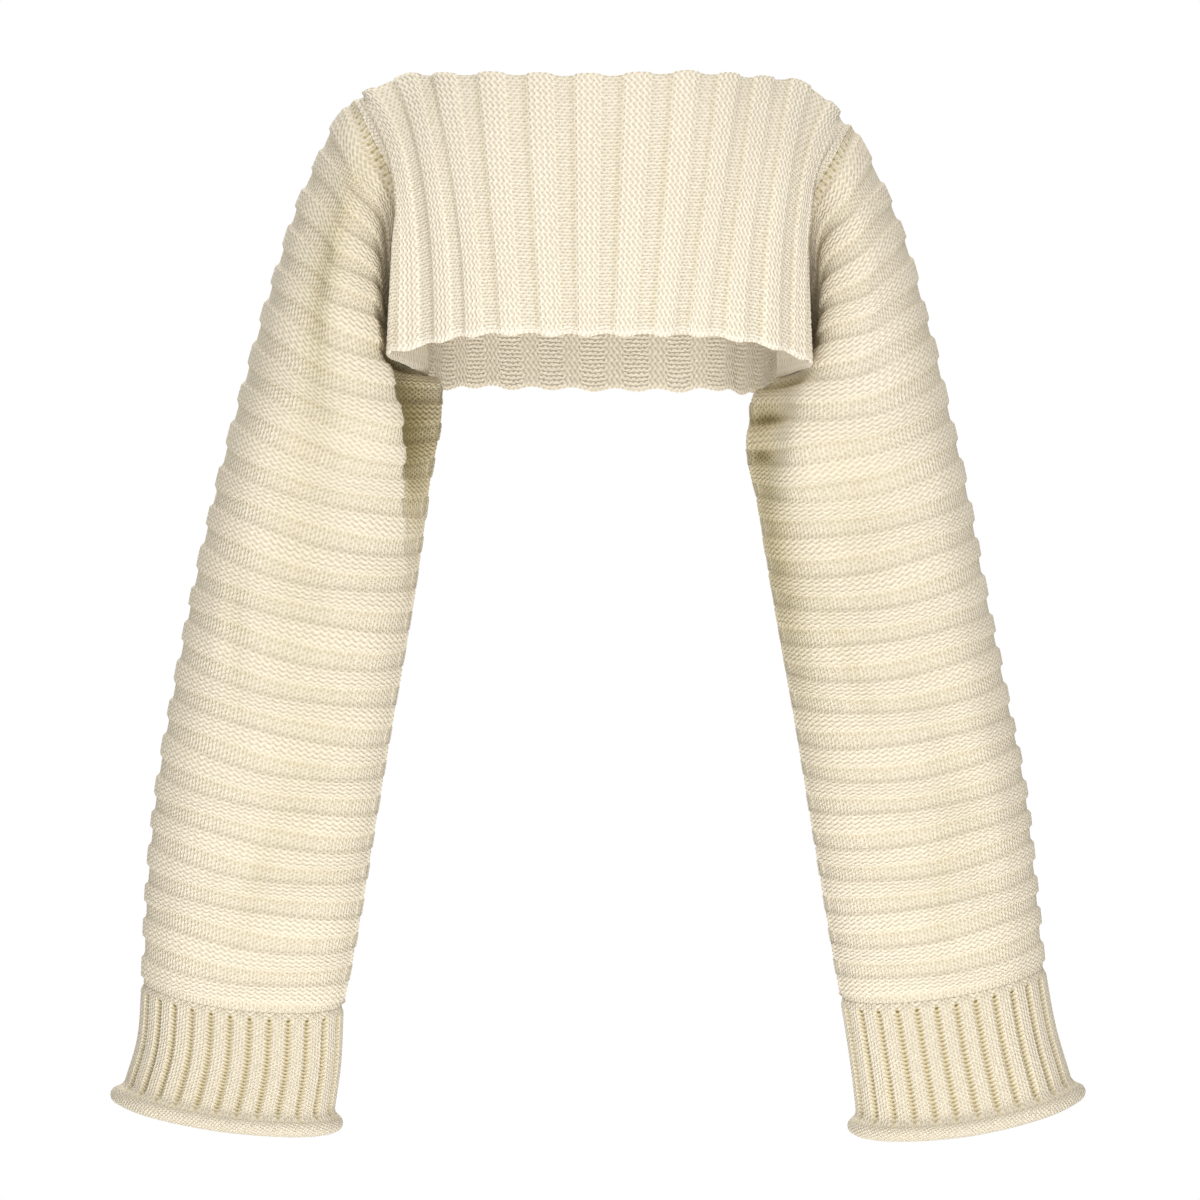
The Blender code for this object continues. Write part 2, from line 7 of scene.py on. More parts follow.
import bpy
import numpy as np
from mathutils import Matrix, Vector


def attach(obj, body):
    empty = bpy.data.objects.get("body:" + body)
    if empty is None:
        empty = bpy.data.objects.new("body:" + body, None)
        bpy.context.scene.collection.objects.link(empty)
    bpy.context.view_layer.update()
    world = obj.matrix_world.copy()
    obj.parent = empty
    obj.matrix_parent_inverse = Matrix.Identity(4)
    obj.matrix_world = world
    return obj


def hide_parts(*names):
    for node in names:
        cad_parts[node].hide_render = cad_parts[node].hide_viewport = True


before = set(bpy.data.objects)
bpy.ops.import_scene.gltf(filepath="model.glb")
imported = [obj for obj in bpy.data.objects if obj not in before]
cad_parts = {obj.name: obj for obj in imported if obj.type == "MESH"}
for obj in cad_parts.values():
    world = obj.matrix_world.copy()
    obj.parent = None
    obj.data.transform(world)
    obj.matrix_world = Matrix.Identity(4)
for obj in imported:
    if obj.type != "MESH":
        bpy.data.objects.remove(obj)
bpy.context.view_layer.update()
MM = 0.001

# The camera
# It stands 3.2 m in front of the garment, level with its middle, and its view is 0.893 m wide there.
CAMERA_DISTANCE = 3.2
CAMERA_HEIGHT = -0.387
VIEW_SHARE = 0.279  # the view's width over its distance
camera_data = bpy.data.cameras.new("camera")
camera_data.sensor_width = 36
camera_data.lens = camera_data.sensor_width / VIEW_SHARE
camera = bpy.data.objects.new("camera", camera_data)
camera.location = (0, -CAMERA_DISTANCE, CAMERA_HEIGHT)
camera.rotation_euler = (np.pi / 2, 0, 0)
bpy.context.scene.collection.objects.link(camera)
bpy.context.scene.camera = camera

# The yarn and its stitches
# One soft cotton yarn is knitted everywhere: smooth V-shaped knit stitches and, where a piece's "purl"
# attribute is 1, the zigzag lines of purl stitches. The UV map named "stitch" counts wales along U and
# courses along V. The "pit" attribute is painted shade that darkens the yarn in folds, valleys and holes;
# below 0 it is painted light that makes the yarn paler.
CREAM_LIT = (0.905, 0.822, 0.682, 1)
# the colour of painted shade, where the shade is 1
CREAM_PAINTED_SHADE = (0.60, 0.515, 0.325, 1)
CREAM_PAINTED_SHADOW = (0.23, 0.18, 0.06, 1)  # painted shadow deep in a fold or a hole, where the painted shade is over 1
YARN_SHIFT = 0.09  # how far a knit stitch's two legs sway, in wales
PURL_SWAY = 0.15  # how far a purl line sways, in courses
PURL_SLANT = 0.4  # how far a purl stitch's hollows are drawn out along one diagonal
UNEVEN_SCALE = 0.9  # of the noise that pushes stitches off their lattice, for each stitch
UNEVEN = (0.35, 0.35, 0)  # the span of that push, in wales and courses
HOLLOW_POWER = 2.6  # the higher, the smaller a hollow
YARN_POWER = 0.7  # the lower, the fuller a leg
HOLLOW_DEPTH = 0.55
STITCH_DEPTH = 0.0007  # of the bump, in metres
# Painted shade in the hollows between stitches and on the yarn's falling sides
HOLLOW_SHADE = 0.58
SIDE_SHADE = 0.22  # of the yarn's falling sides
PLY_SCALE = 7.0
PLY_DEPTH = 0.22
BATCH_SCALE = 14.0  # of the slow change of tone, for each metre
BATCH_SHADE = 0.16


class Graph:
    """Nodes of one tree, with short calls for the sums in it."""

    def __init__(self, tree):
        self.nodes = tree.nodes
        self.links = tree.links

    def node(self, kind, values=(), **settings):
        """A node with these settings. In order, a value stays on its input, and a socket is linked to it."""
        made = self.nodes.new(kind)
        for name, value in settings.items():
            setattr(made, name, value)
        for socket, value in zip(made.inputs, values):
            if isinstance(value, bpy.types.NodeSocket):
                self.links.new(value, socket)
            elif value is not None:
                socket.default_value = value
        return made

    def math(self, operation, *values):
        return self.node("ShaderNodeMath", values, operation=operation).outputs[0]

    def wave(self, turns, scale=1.0):
        """The cosine of this many turns."""
        return self.math("COSINE", self.math("MULTIPLY", turns, 2 * np.pi * scale))

    def sine(self, turns):
        """The sine of this many turns."""
        return self.math("SINE", self.math("MULTIPLY", turns, 2 * np.pi))


def knit_group():
    """Stitches as one height and one painted shade, of the hollows between them and the yarn's sides.

    Hollows lie at whole wales and courses and halfway between both, so they are staggered. A knit stitch's
    legs run along the wale and sway away from the hollows. A purl line runs along the course and zigzags
    between them.
    """
    tree = bpy.data.node_groups.new("knit stitches", "ShaderNodeTree")
    face = tree.interface
    face.new_socket("Stitch", in_out="INPUT", socket_type="NodeSocketVector")
    face.new_socket("Purl", in_out="INPUT", socket_type="NodeSocketFloat")
    face.new_socket("Height", in_out="OUTPUT", socket_type="NodeSocketFloat")
    face.new_socket("Painted shade", in_out="OUTPUT", socket_type="NodeSocketFloat")
    g = Graph(tree)
    given = g.node("NodeGroupInput")
    stitch = given.outputs["Stitch"]
    # No stitch lies quite on its lattice: each is pushed a little by a slow noise.
    push = g.node("ShaderNodeTexNoise", [stitch, None, UNEVEN_SCALE, 1.0], noise_dimensions="3D")
    push = g.node("ShaderNodeVectorMath", [push.outputs["Color"], (0.5, 0.5, 0.5)], operation="SUBTRACT")
    push = g.node("ShaderNodeVectorMath", [push.outputs[0], UNEVEN], operation="MULTIPLY")
    place = g.node("ShaderNodeVectorMath", [stitch, push.outputs[0]], operation="ADD").outputs[0]
    apart = g.node("ShaderNodeSeparateXYZ", [place])
    wale, course = apart.outputs[0], apart.outputs[1]
    across = g.wave(wale)
    along = g.wave(course)
    slant = g.math("MULTIPLY", g.sine(wale), g.sine(course))
    slant = g.math("MULTIPLY", slant, g.math("MULTIPLY", given.outputs["Purl"], PURL_SLANT))
    lattice = g.math("MULTIPLY_ADD", g.math("MULTIPLY_ADD", across, along, slant), 0.5, 0.5)
    hollow = g.math("POWER", g.math("MAXIMUM", lattice, 0.0), HOLLOW_POWER)
    sway = g.math("MULTIPLY", g.sine(wale), along)
    leg = g.math("MULTIPLY_ADD", sway, -YARN_SHIFT, wale)
    knit = g.math("MULTIPLY_ADD", g.wave(leg, 2.0), -0.5, 0.5)
    line = g.math("MULTIPLY_ADD", across, -PURL_SWAY, g.math("SUBTRACT", course, 0.25))
    purl = g.math("MULTIPLY_ADD", g.wave(line), 0.5, 0.5)
    mix = g.node("ShaderNodeMix", data_type="FLOAT")
    g.links.new(given.outputs["Purl"], mix.inputs["Factor"])
    g.links.new(knit, mix.inputs["A"])
    g.links.new(purl, mix.inputs["B"])
    body = g.math("POWER", mix.outputs["Result"], YARN_POWER)
    # The yarn's own plies show as fine noise drawn out along the wale.
    plies = g.node("ShaderNodeTexNoise", [place, None, PLY_SCALE, 2.0, 0.6], noise_dimensions="3D")
    height = g.math("SUBTRACT", body, g.math("MULTIPLY", hollow, HOLLOW_DEPTH))
    height = g.math("MULTIPLY_ADD", plies.outputs["Fac"], PLY_DEPTH, height)
    # Painted shade: the hollows and the yarn's falling sides are darkened.
    shade = g.math("MULTIPLY", hollow, HOLLOW_SHADE)
    shade = g.math("MULTIPLY_ADD", g.math("SUBTRACT", 1.0, body), SIDE_SHADE, shade)
    out = g.node("NodeGroupOutput")
    g.links.new(height, out.inputs["Height"])
    g.links.new(shade, out.inputs["Painted shade"])
    return tree


KNIT = knit_group()


def yarn_material(name, lit=CREAM_LIT):
    """Matte cotton knit: stitches from the group raise the surface and paint shade into its hollows.

    The colour goes from lit to the painted shade's colour as the shade goes from 0 to 1, and on to the
    painted shadow's colour at 2.
    """
    material = bpy.data.materials.new(name)
    material.use_nodes = True
    g = Graph(material.node_tree)
    shader = material.node_tree.nodes["Principled BSDF"]
    stitch = g.node("ShaderNodeUVMap", uv_map="stitch").outputs[0]
    purl = g.node("ShaderNodeAttribute", attribute_name="purl").outputs["Fac"]
    pit = g.node("ShaderNodeAttribute", attribute_name="pit").outputs["Fac"]
    knit = g.node("ShaderNodeGroup", node_tree=KNIT)
    g.links.new(stitch, knit.inputs["Stitch"])
    g.links.new(purl, knit.inputs["Purl"])
    # Batches of yarn differ a little in tone over a hand's width.
    where = g.node("ShaderNodeTexCoord").outputs["Object"]
    batch = g.node("ShaderNodeTexNoise", [where, None, BATCH_SCALE, 3.0, 0.55], noise_dimensions="3D")
    shade = g.math("SUBTRACT", knit.outputs["Painted shade"], BATCH_SHADE / 2)
    shade = g.math("MULTIPLY_ADD", batch.outputs["Fac"], BATCH_SHADE, shade)
    # The "pit" attribute adds painted shade, or painted light where it is below 0.
    shade = g.math("ADD", shade, pit)
    colour = g.node("ShaderNodeMix", data_type="RGBA", clamp_factor=True)
    g.links.new(shade, colour.inputs["Factor"])
    colour.inputs["A"].default_value = lit
    colour.inputs["B"].default_value = CREAM_PAINTED_SHADE
    dark = g.node("ShaderNodeMix", data_type="RGBA", clamp_factor=True)
    g.links.new(g.math("SUBTRACT", shade, 1.0), dark.inputs["Factor"])
    g.links.new(colour.outputs["Result"], dark.inputs["A"])
    dark.inputs["B"].default_value = CREAM_PAINTED_SHADOW
    g.links.new(dark.outputs["Result"], shader.inputs["Base Color"])
    bump = g.node("ShaderNodeBump")
    bump.inputs["Strength"].default_value = 1.0
    bump.inputs["Distance"].default_value = STITCH_DEPTH
    g.links.new(knit.outputs["Height"], bump.inputs["Height"])
    g.links.new(bump.outputs["Normal"], shader.inputs["Normal"])
    shader.inputs["Roughness"].default_value = 0.9
    shader.inputs["Specular IOR Level"].default_value = 0.25
    shader.inputs["Sheen Weight"].default_value = 0.12
    shader.inputs["Sheen Roughness"].default_value = 0.5
    shader.inputs["Sheen Tint"].default_value = (1.0, 0.97, 0.88, 1)
    return material


# The front and the back
# Each is one short panel, knitted sideways so that its twelve purl welts hang upright. The two meet at the
# shoulders and at the short side seams, and the sleeves are linked to them round the armholes.
WALL = 2.6  # thickness of the knit
WELT = 2.4  # how far a welt is raised over it
INSIDE_LIFT = 0.8  # how much of that the inside follows
SEAM = 0.3  # gap between two pieces
BODY_WELTS = 12
WELT_COURSES = 8
COURSE_STEPS = 2  # rows or columns of the mesh for each course
WALE_STEPS = 2
SLEEVE_WALES = 70
SLEEVE_WELTS = 23
SLEEVE_START = BODY_WELTS / 2
SLEEVE_END = SLEEVE_START + SLEEVE_WELTS
ARMHOLE_SHARE = 0.93  # of a side's height, the rest being the side seam
HEM_ROWS = 5
SIDE_KNOTS = (6.1, 7.1, 8.1)  # numbers of the edge, the middle and the seam on a panel's plain side
SIDE_BULGE = 2.0
SHOULDER_MEET = 9.0  # the panels' tops are joined where they are nearer than this to the middle plane
ARMHOLE_POINTS = 18
SEAM_POINTS = np.arange(ARMHOLE_POINTS) / ARMHOLE_POINTS
NORMAL_EASE = 0.4  # how much a normal at the seam takes from each neighbour
NORMAL_BLUR = 3  # times that a surface's normals are evened out
SEAM_STEP = 0.35  # welts to the ring that gives the sleeve's direction
SHOULDER_BEFORE = (10, 5)  # from the armhole's top to the panels' point before it, inwards and up
DIMPLE = 0.45  # depth of the hollows between stitches in the mesh

PANEL_COLUMNS = "welt neck_x neck_y neck_z hem_x hem_y hem_z bend swell"
FRONT = (
    (-5.5, -176, -3, -8, -140, -68, -203, 4.4, 7.0),
    (-4.5, -144, -14, 3, -115, -85, -198, 2.3, 5.0),
    (-3.5, -116, -42, 0, -92, -96, -195, 1.8, 3.4),
    (-2.5, -80, -62, -2, -65, -102, -194, 1.1, 2.8),
    (-1.5, -44, -71, -4, -35, -105, -195, 1.0, 2.5),
    (-0.5, -9, -75, -5, -9, -106, -195, 1.0, 2.4),
    (0.5, 28, -74, -4, 18, -106, -195, 1.0, 2.4),
    (1.5, 64, -68, -2, 47, -103, -195, 1.0, 2.6),
    (2.5, 96, -56, -2, 71, -99, -195, 1.1, 3.0),
    (3.5, 122, -38, -2, 99, -93, -198, 1.5, 3.4),
    (4.5, 150, -12, -2, 126, -82, -203, 2.2, 5.0),
    (5.5, 177, -3, -20, 146, -68, -209, 4.0, 7.0),
)
BACK = (
    (-5.5, -176, 3, -8, -132, 60, -219, 3.0, 7.0),
    (-4.5, -144, 14, 6, -118, 73, -225, 2.3, 5.0),
    (-3.5, -116, 40, 7, -96, 83, -223, 1.8, 3.4),
    (-2.5, -80, 58, 8, -68, 88, -224, 1.1, 2.8),
    (-1.5, -44, 67, 8, -37, 92, -224, 1.0, 2.5),
    (-0.5, -9, 71, 8, -5, 94, -225, 1.0, 2.4),
    (0.5, 28, 70, 8, 28, 93, -225, 1.0, 2.4),
    (1.5, 64, 64, 8, 61, 90, -226, 1.0, 2.6),
    (2.5, 96, 53, 7, 90, 84, -225, 1.1, 3.0),
    (3.5, 122, 36, 5, 108, 80, -228, 1.5, 3.4),
    (4.5, 150, 12, 1, 124, 71, -229, 2.0, 5.0),
    (5.5, 177, 3, -20, 135, 59, -222, 3.0, 7.0),
)
EDGE_COLUMNS = "share x y z"
FRONT_EDGE_RIGHT = (
    (0.0, -178, -0.2, -11),
    (0.1, -174, -28, -18),
    (0.21, -165, -50, -37),
    (0.31, -156, -62, -61),
    (0.41, -151, -68, -86),
    (0.62, -153, -67, -130),
    (0.83, -156, -62, -173),
    (1.0, -158, -56, -206),
)
FRONT_EDGE_LEFT = (
    (0.0, 182, -0.2, -29),
    (0.1, 178, -28, -35),
    (0.21, 170, -50, -51),
    (0.31, 160, -62, -73),
    (0.41, 155, -68, -97),
    (0.62, 154, -67, -137),
    (0.83, 156, -62, -179),
    (1.0, 158, -56, -213),
)
BACK_EDGE_RIGHT = (
    (0.0, -178, 0.2, -11),
    (0.1, -174, 24, -18),
    (0.21, -166, 43, -33),
    (0.31, -156, 54, -54),
    (0.41, -147, 59, -77),
    (0.62, -142, 60, -126),
    (0.83, -140, 53, -172),
    (1.0, -137, 46, -217),
)
BACK_EDGE_LEFT = (
    (0.0, 182, 0.2, -29),
    (0.1, 178, 24, -35),
    (0.21, 171, 43, -48),
    (0.31, 162, 54, -67),
    (0.41, 153, 59, -88),
    (0.62, 147, 60, -134),
    (0.83, 144, 53, -176),
    (1.0, 140, 46, -220),
)
SIDE_HEM_RIGHT = (-133, 24, -217)
SIDE_HEM_LEFT = (137, 22, -219.5)

# A sleeve's rings: the outer silhouette, the inner one and the depths in front and behind. Rings above the
# body's hem pass the body's side edge first, at the pit columns, and 0 there means a free ring.
RING_COLUMNS = (
    "welt outer_x outer_z inner_x inner_y inner_z front back droop pit_x pit_z pit_front pit_back"
)
RIGHT_RINGS = (
    (6.0, -184, -13, -134, 24, -190, 49, 48, 0, -151, -86, 50, 55),
    (6.5, -197, -29, -139, 26, -194, 55, 52, 2, -157, -97, 47, 54),
    (7.5, -211, -58, -145, 28, -200, 62, 57, 4, -162, -115, 45, 52),
    (8.5, -225, -89, -147, 30, -206, 66, 61, 6, -163, -139, 47, 52),
    (9.5, -234, -115, -145, 31, -210, 68, 64, 8, -162, -163, 46, 52),
    (10.5, -243, -144, -137, 31, -216, 69, 65, 10, -160, -190, 46, 51),
    (11.5, -252, -173, -119, 30, -223, 68, 65, 11, -155, -219, 50, 50),
    (12.5, -260, -202, -117, 27, -247, 66, 63, 12, -149, -252, 50, 49),
    (14.5, -277, -263, -125, 20, -303, 60, 58, 14, 0, 0, 0, 0),
    (17.5, -299, -354, -138, 12, -387, 54, 52, 12, 0, 0, 0, 0),
    (20.5, -316, -438, -153, 6, -473, 49, 47, 11, 0, 0, 0, 0),
    (23.5, -331, -523, -166, 2, -552, 45, 43, 10, 0, 0, 0, 0),
    (26.5, -339, -603, -178, 0, -627, 41, 40, 9, 0, 0, 0, 0),
    (29.0, -342, -673, -190, 0, -690, 38, 37, 8, 0, 0, 0, 0),
)
LEFT_RINGS = (
    (6.0, 188, -32, 137, 22, -192, 49, 48, 0, 156, -96, 50, 55),
    (6.5, 198, -50, 142, 24, -197, 55, 52, 2, 161, -106, 47, 54),
    (7.5, 214, -83, 148, 26, -203, 62, 57, 4, 164, -132, 45, 52),
    (8.5, 226, -112, 150, 28, -210, 66, 61, 6, 164, -158, 47, 52),
    (9.5, 235, -140, 146, 29, -214, 68, 64, 8, 163, -182, 46, 52),
    (10.5, 243, -171, 134, 29, -221, 69, 65, 10, 159, -207, 46, 51),
    (11.5, 251, -200, 115, 28, -233, 68, 65, 11, 150, -233, 50, 50),
    (12.5, 258, -231, 109, 25, -265, 66, 63, 12, 143, -266, 50, 49),
    (14.5, 272, -291, 118, 18, -318, 60, 58, 14, 0, 0, 0, 0),
    (17.5, 288, -376, 131, 12, -399, 54, 52, 12, 0, 0, 0, 0),
    (20.5, 304, -455, 144, 6, -474, 49, 47, 11, 0, 0, 0, 0),
    (23.5, 318, -526, 156, 2, -550, 45, 43, 10, 0, 0, 0, 0),
    (26.5, 326, -597, 168, 0, -624, 41, 40, 9, 0, 0, 0, 0),
    (29.0, 332, -661, 178, 0, -684, 38, 37, 8, 0, 0, 0, 0),
)


def table(names, rows):
    """The rows as one array for each named column."""
    return dict(zip(names.split(), np.array(rows, float).T))


def unit(vectors):
    """The vectors at length 1."""
    return vectors / np.linalg.norm(vectors, axis=-1, keepdims=True)


def spline(knots, values, at):
    """A smooth curve through values at the knots: cubics that take the mean slope beside each knot."""
    knots = np.asarray(knots, float)
    values = np.asarray(values, float)
    at = np.asarray(at, float)
    span = np.diff(knots)
    wide = (-1,) + (1,) * (values.ndim - 1)
    step = np.diff(values, axis=0) / span.reshape(wide)
    inner = (step[:-1] * span[1:].reshape(wide) + step[1:] * span[:-1].reshape(wide)) / (
        span[:-1] + span[1:]
    ).reshape(wide)
    slope = np.concatenate([step[:1], inner, step[-1:]])
    i = np.clip(np.searchsorted(knots, at, side="right") - 1, 0, len(span) - 1)
    width = span[i].reshape(wide)
    s = ((at - knots[i]) / span[i]).reshape(wide)
    return (
        values[i] * (1 + 2 * s) * (1 - s) ** 2
        + slope[i] * width * s * (1 - s) ** 2
        + values[i + 1] * s**2 * (3 - 2 * s)
        + slope[i + 1] * width * s**2 * (s - 1)
    )


def smooth_step(x):
    """0 below 0, 1 above 1, and an S between them."""
    x = np.clip(x, 0, 1)
    return x * x * (3 - 2 * x)


PATH_STEPS = 160
CHORD_POWER = 0.7  # knots lie apart by this power of their distance, which keeps tight turns round


def half_ring(controls, shares):
    """Points at these shares of a smooth path. Its first and last controls only set its end slopes."""
    lengths = np.linalg.norm(np.diff(controls, axis=1), axis=2)
    found = []
    for path, chord in zip(controls, lengths):
        knots = np.concatenate([[0], np.cumsum(chord**CHORD_POWER)])
        fine = spline(knots, path, np.linspace(knots[1], knots[-2], PATH_STEPS))
        run = np.concatenate([[0], np.cumsum(np.linalg.norm(np.diff(fine, axis=0), axis=1))])
        found.append([np.interp(shares * run[-1], run, fine[:, k]) for k in range(3)])
    return np.array(found).transpose(0, 2, 1)


# Controls between a ring's two silhouettes: share of the way, share of the depth and share of the droop. A
# ring that passes the body's side edge has only two, on its way there.
FREE_PLACES = ((0.146, 0.76, 0.5), (0.5, 1.0, 1.0), (0.854, 0.76, 0.6), (0.962, 0.42, 0.25))
EDGE_PLACES = ((0.14, 0.66, 0.5), (0.5, 1.0, 1.0))
PIT_ASIDE = 4.0  # from the middle between edge and inner silhouette to the control there
PIT_DEPTH = 6.0


def ring_controls(row, side):
    """Controls of half a ring, from the outer silhouette in. Side is -1 in front and 1 behind."""
    outer = np.array([row["outer_x"], 0, row["outer_z"]])
    inner = np.array([row["inner_x"], row["inner_y"], row["inner_z"]])
    depth = row["front"] if side < 0 else row["back"]
    pit = row.get("pit_x", 0)
    if pit:
        edge = np.array([pit, 0, row["pit_z"]])
        edge_depth = row["pit_front"] if side < 0 else row["pit_back"]
        points = [outer]
        for share, part, droop in EDGE_PLACES:
            at = outer + share * (edge - outer)
            points.append(at + [0, side * depth * part, -droop * row["droop"]])
        edge = edge + [0, side * edge_depth, 0]
        points.append(edge)
        points.append((edge + inner) / 2 + [np.sign(pit) * PIT_ASIDE, side * PIT_DEPTH, 0])
    else:
        points = [outer]
        for share, part, droop in FREE_PLACES:
            at = outer + share * (inner - outer)
            points.append(at + [0, side * depth * part, -droop * row["droop"]])
    points.append(inner)
    return np.array(points)


def rings(names, rows, key, at, around):
    """Rings at the numbers `at`: the front half from share 0 to 0.5, then the back half on to 1."""
    columns = table(names, rows)
    halves = []
    for side in (-1, 1):
        control = [
            ring_controls({k: v[i] for k, v in columns.items()}, side) for i in range(len(rows))
        ]
        halves.append(spline(columns[key], np.array(control), at))
    # Each half's path leads in from the other half, so that the ring is smooth where they meet.
    paths = [
        np.concatenate([other[:, 1:2], half, other[:, -2:-1]], axis=1)
        for half, other in (halves, halves[::-1])
    ]
    front = half_ring(paths[0], np.clip(around * 2, 0, 1))
    back = half_ring(paths[1], np.clip(2 - around * 2, 0, 1))
    return np.where((around <= 0.5)[None, :, None], front, back)


def normals(points, closed_rows=False):
    """Unit normals of a grid (rows, columns, 3): the cross product of its two directions, blurred."""
    if closed_rows:
        wrapped = np.concatenate([points[:, -1:], points, points[:, :1]], axis=1)
        across = wrapped[:, 2:] - wrapped[:, :-2]
    else:
        across = np.gradient(points, axis=1)
    out = unit(np.cross(np.gradient(points, axis=0), across))
    for _ in range(NORMAL_BLUR):
        if closed_rows:
            out = (np.roll(out, 1, axis=1) + 2 * out + np.roll(out, -1, axis=1)) / 4
        else:
            out = np.concatenate([out[:, :1], out, out[:, -1:]], axis=1)
            out = (out[:, :-2] + 2 * out[:, 1:-1] + out[:, 2:]) / 4
        out = np.concatenate([out[:1], out, out[-1:]], axis=0)
        out = (out[:-2] + 2 * out[1:-1] + out[2:]) / 4
    return unit(out)


def outward(surface):
    """Normals of closed rings, all turned away from the rings' middle."""
    out = normals(surface, True)
    return out * np.sign(np.sum(out * (surface - surface.mean(axis=1, keepdims=True))))


def square_to(vectors, along):
    """What is left of the vectors at right angles to the unit vectors along."""
    return vectors - along * np.sum(vectors * along, axis=1, keepdims=True)


def panel_edge(right, back, share):
    """The edge along which a panel's side turns back, at these shares of its height."""
    if back:
        e = table(EDGE_COLUMNS, BACK_EDGE_RIGHT if right else BACK_EDGE_LEFT)
    else:
        e = table(EDGE_COLUMNS, FRONT_EDGE_RIGHT if right else FRONT_EDGE_LEFT)
    return spline(e["share"], np.stack([e["x"], e["y"], e["z"]], axis=1), share)


def seam_frame(right, around):
    """The armhole ring at these shares round it, its outward normals and its direction to the sleeve."""
    rows = RIGHT_RINGS if right else LEFT_RINGS
    ring, next_ring = rings(RING_COLUMNS, rows, "welt", [SLEEVE_START, SLEEVE_START + SEAM_STEP], SEAM_POINTS)
    hem = np.array(SIDE_HEM_RIGHT if right else SIDE_HEM_LEFT, float)
    half = len(ring) // 2
    share = np.arange(half + 1) / half * ARMHOLE_SHARE
    front = (panel_edge(right, False, share) + ring[: half + 1]) / 2
    back = (panel_edge(right, True, share) + np.concatenate([ring[half:], ring[:1]])[::-1]) / 2
    before = np.concatenate([front, back[-2:0:-1]])
    before[0] = ring[0] + [-np.sign(hem[0]) * SHOULDER_BEFORE[0], 0, SHOULDER_BEFORE[1]]
    before[half] = hem
    along = unit(np.roll(ring, -1, axis=0) - np.roll(ring, 1, axis=0))
    ahead = unit(square_to(next_ring - ring, along))
    behind = unit(square_to(ring - before, along))
    across = ahead + behind
    out = unit(np.cross(along, across))
    out *= np.sign(np.sum(out * (ring - ring.mean(axis=0)), axis=1))[:, None]
    # Where the cloth doubles back on itself, its normal points out of the fold.
    doubled = np.linalg.norm(across, axis=1) < 1
    out[doubled] = unit(ahead - behind)[doubled]
    out = unit(out + NORMAL_EASE * (np.roll(out, 1, axis=0) + np.roll(out, -1, axis=0)))
    to_sleeve = unit(np.cross(out, along))
    to_sleeve *= np.sign(np.sum(to_sleeve * across, axis=1))[:, None]
    closed = np.append(SEAM_POINTS, 1.0)
    spread = []
    for values in (out, to_sleeve):
        values = np.vstack([values, values[:1]])
        spread.append(unit(np.stack([np.interp(around, closed, values[:, k]) for k in range(3)], axis=1)))
    fine = rings(RING_COLUMNS, rows, "welt", [SLEEVE_START], around)[0]
    return fine, spread[0], spread[1], hem


AROUND = np.arange(SLEEVE_WALES * WALE_STEPS) / (SLEEVE_WALES * WALE_STEPS)
HALF = len(AROUND) // 2
PANEL_SHARES = np.concatenate(
    [np.arange(HALF + 1) / HALF * ARMHOLE_SHARE, np.linspace(ARMHOLE_SHARE, 1.0, HEM_ROWS + 1)[1:]]
)


def panel_side(right, back):
    """Edge, middle and seam columns of a panel's side from shoulder to hem, and the seam's normals."""
    ring, out, to_sleeve, hem = seam_frame(right, AROUND)
    pick = np.arange(HALF + 1)
    if back:
        pick = -pick
    sign = 1 if back else -1
    seam = ring[pick] - to_sleeve[pick] * SEAM / 2
    seam[0, 1] = sign * SEAM / 2
    seam[-1, 1] += sign * SEAM / 2
    foot = hem + [0, sign * SEAM / 2, 0]
    down = np.linspace(0, 1, HEM_ROWS + 1)[1:, None]
    seam = np.vstack([seam, seam[-1] + (foot - seam[-1]) * down])
    aside = np.array([np.sign(hem[0]), 0.0, 0.0])
    seam_out = np.vstack([out[pick], unit(out[pick[-1]] + (aside - out[pick[-1]]) * down)])
    edge = panel_edge(right, back, PANEL_SHARES)
    bulge = np.sign(hem[0]) * SIDE_BULGE * PANEL_SHARES[:, None] * [1, 0, 0]
    return edge, (edge + seam) / 2 + bulge, seam, seam_out


WELT_HALF = 0.32  # half of a welt's foot, in pitches
WELT_SLOPE = 0.1
PURL_HALF = 0.26
FOOT_PLACE = 0.15  # where the dips beside a welt lie in its pitch, from either end
FOOT_WIDTH = 0.05
DIMPLE_POWER = 1.5


def welt_height(number):
    """How high a welt stands at this place: 1 over the middle of each whole pitch, easing to 0 beside it."""
    off = np.abs(number - np.floor(number) - 0.5)
    return smooth_step((WELT_HALF - off) / WELT_SLOPE)


def is_purl(number):
    """1 where the stitches are purl, 0 where they are knit: the middle half of each pitch."""
    return (np.abs(number - np.floor(number) - 0.5) < PURL_HALF).astype(float)


def foot_shade(number, before, after):
    """Painted shade where the knit dips at a welt's two feet: a bell at each foot, of these strengths."""
    share = number - np.floor(number)
    at_first = np.exp(-(((share - FOOT_PLACE) / FOOT_WIDTH) ** 2))
    at_last = np.exp(-(((share - 1 + FOOT_PLACE) / FOOT_WIDTH) ** 2))
    return before * at_first + after * at_last


def dimples(wale, course):
    """The staggered hollows between stitches, 0 to 1, by the product of a cosine across and one along."""
    return (0.5 + 0.5 * np.cos(2 * np.pi * wale) * np.cos(2 * np.pi * course)) ** DIMPLE_POWER


def quads(rows, columns, start, wrap):
    """Faces of a grid of points numbered row by row from start."""
    r = np.arange(rows - 1)[:, None]
    c = np.arange(columns if wrap else columns - 1)[None, :]
    after = (c + 1) % columns
    corners = (r * columns + c, r * columns + after, (r + 1) * columns + after, (r + 1) * columns + c)
    return np.stack([k.ravel() for k in np.broadcast_arrays(*corners)], axis=1) + start


def strip(first, second, wrap):
    """Faces between two rows of point numbers of one length."""
    if wrap:
        first, second = np.append(first, first[0]), np.append(second, second[0])
    return np.stack([first[:-1], first[1:], second[1:], second[:-1]], axis=1)


SHARP_FOLD = 1.2  # radians between two faces past which their edge is sharp


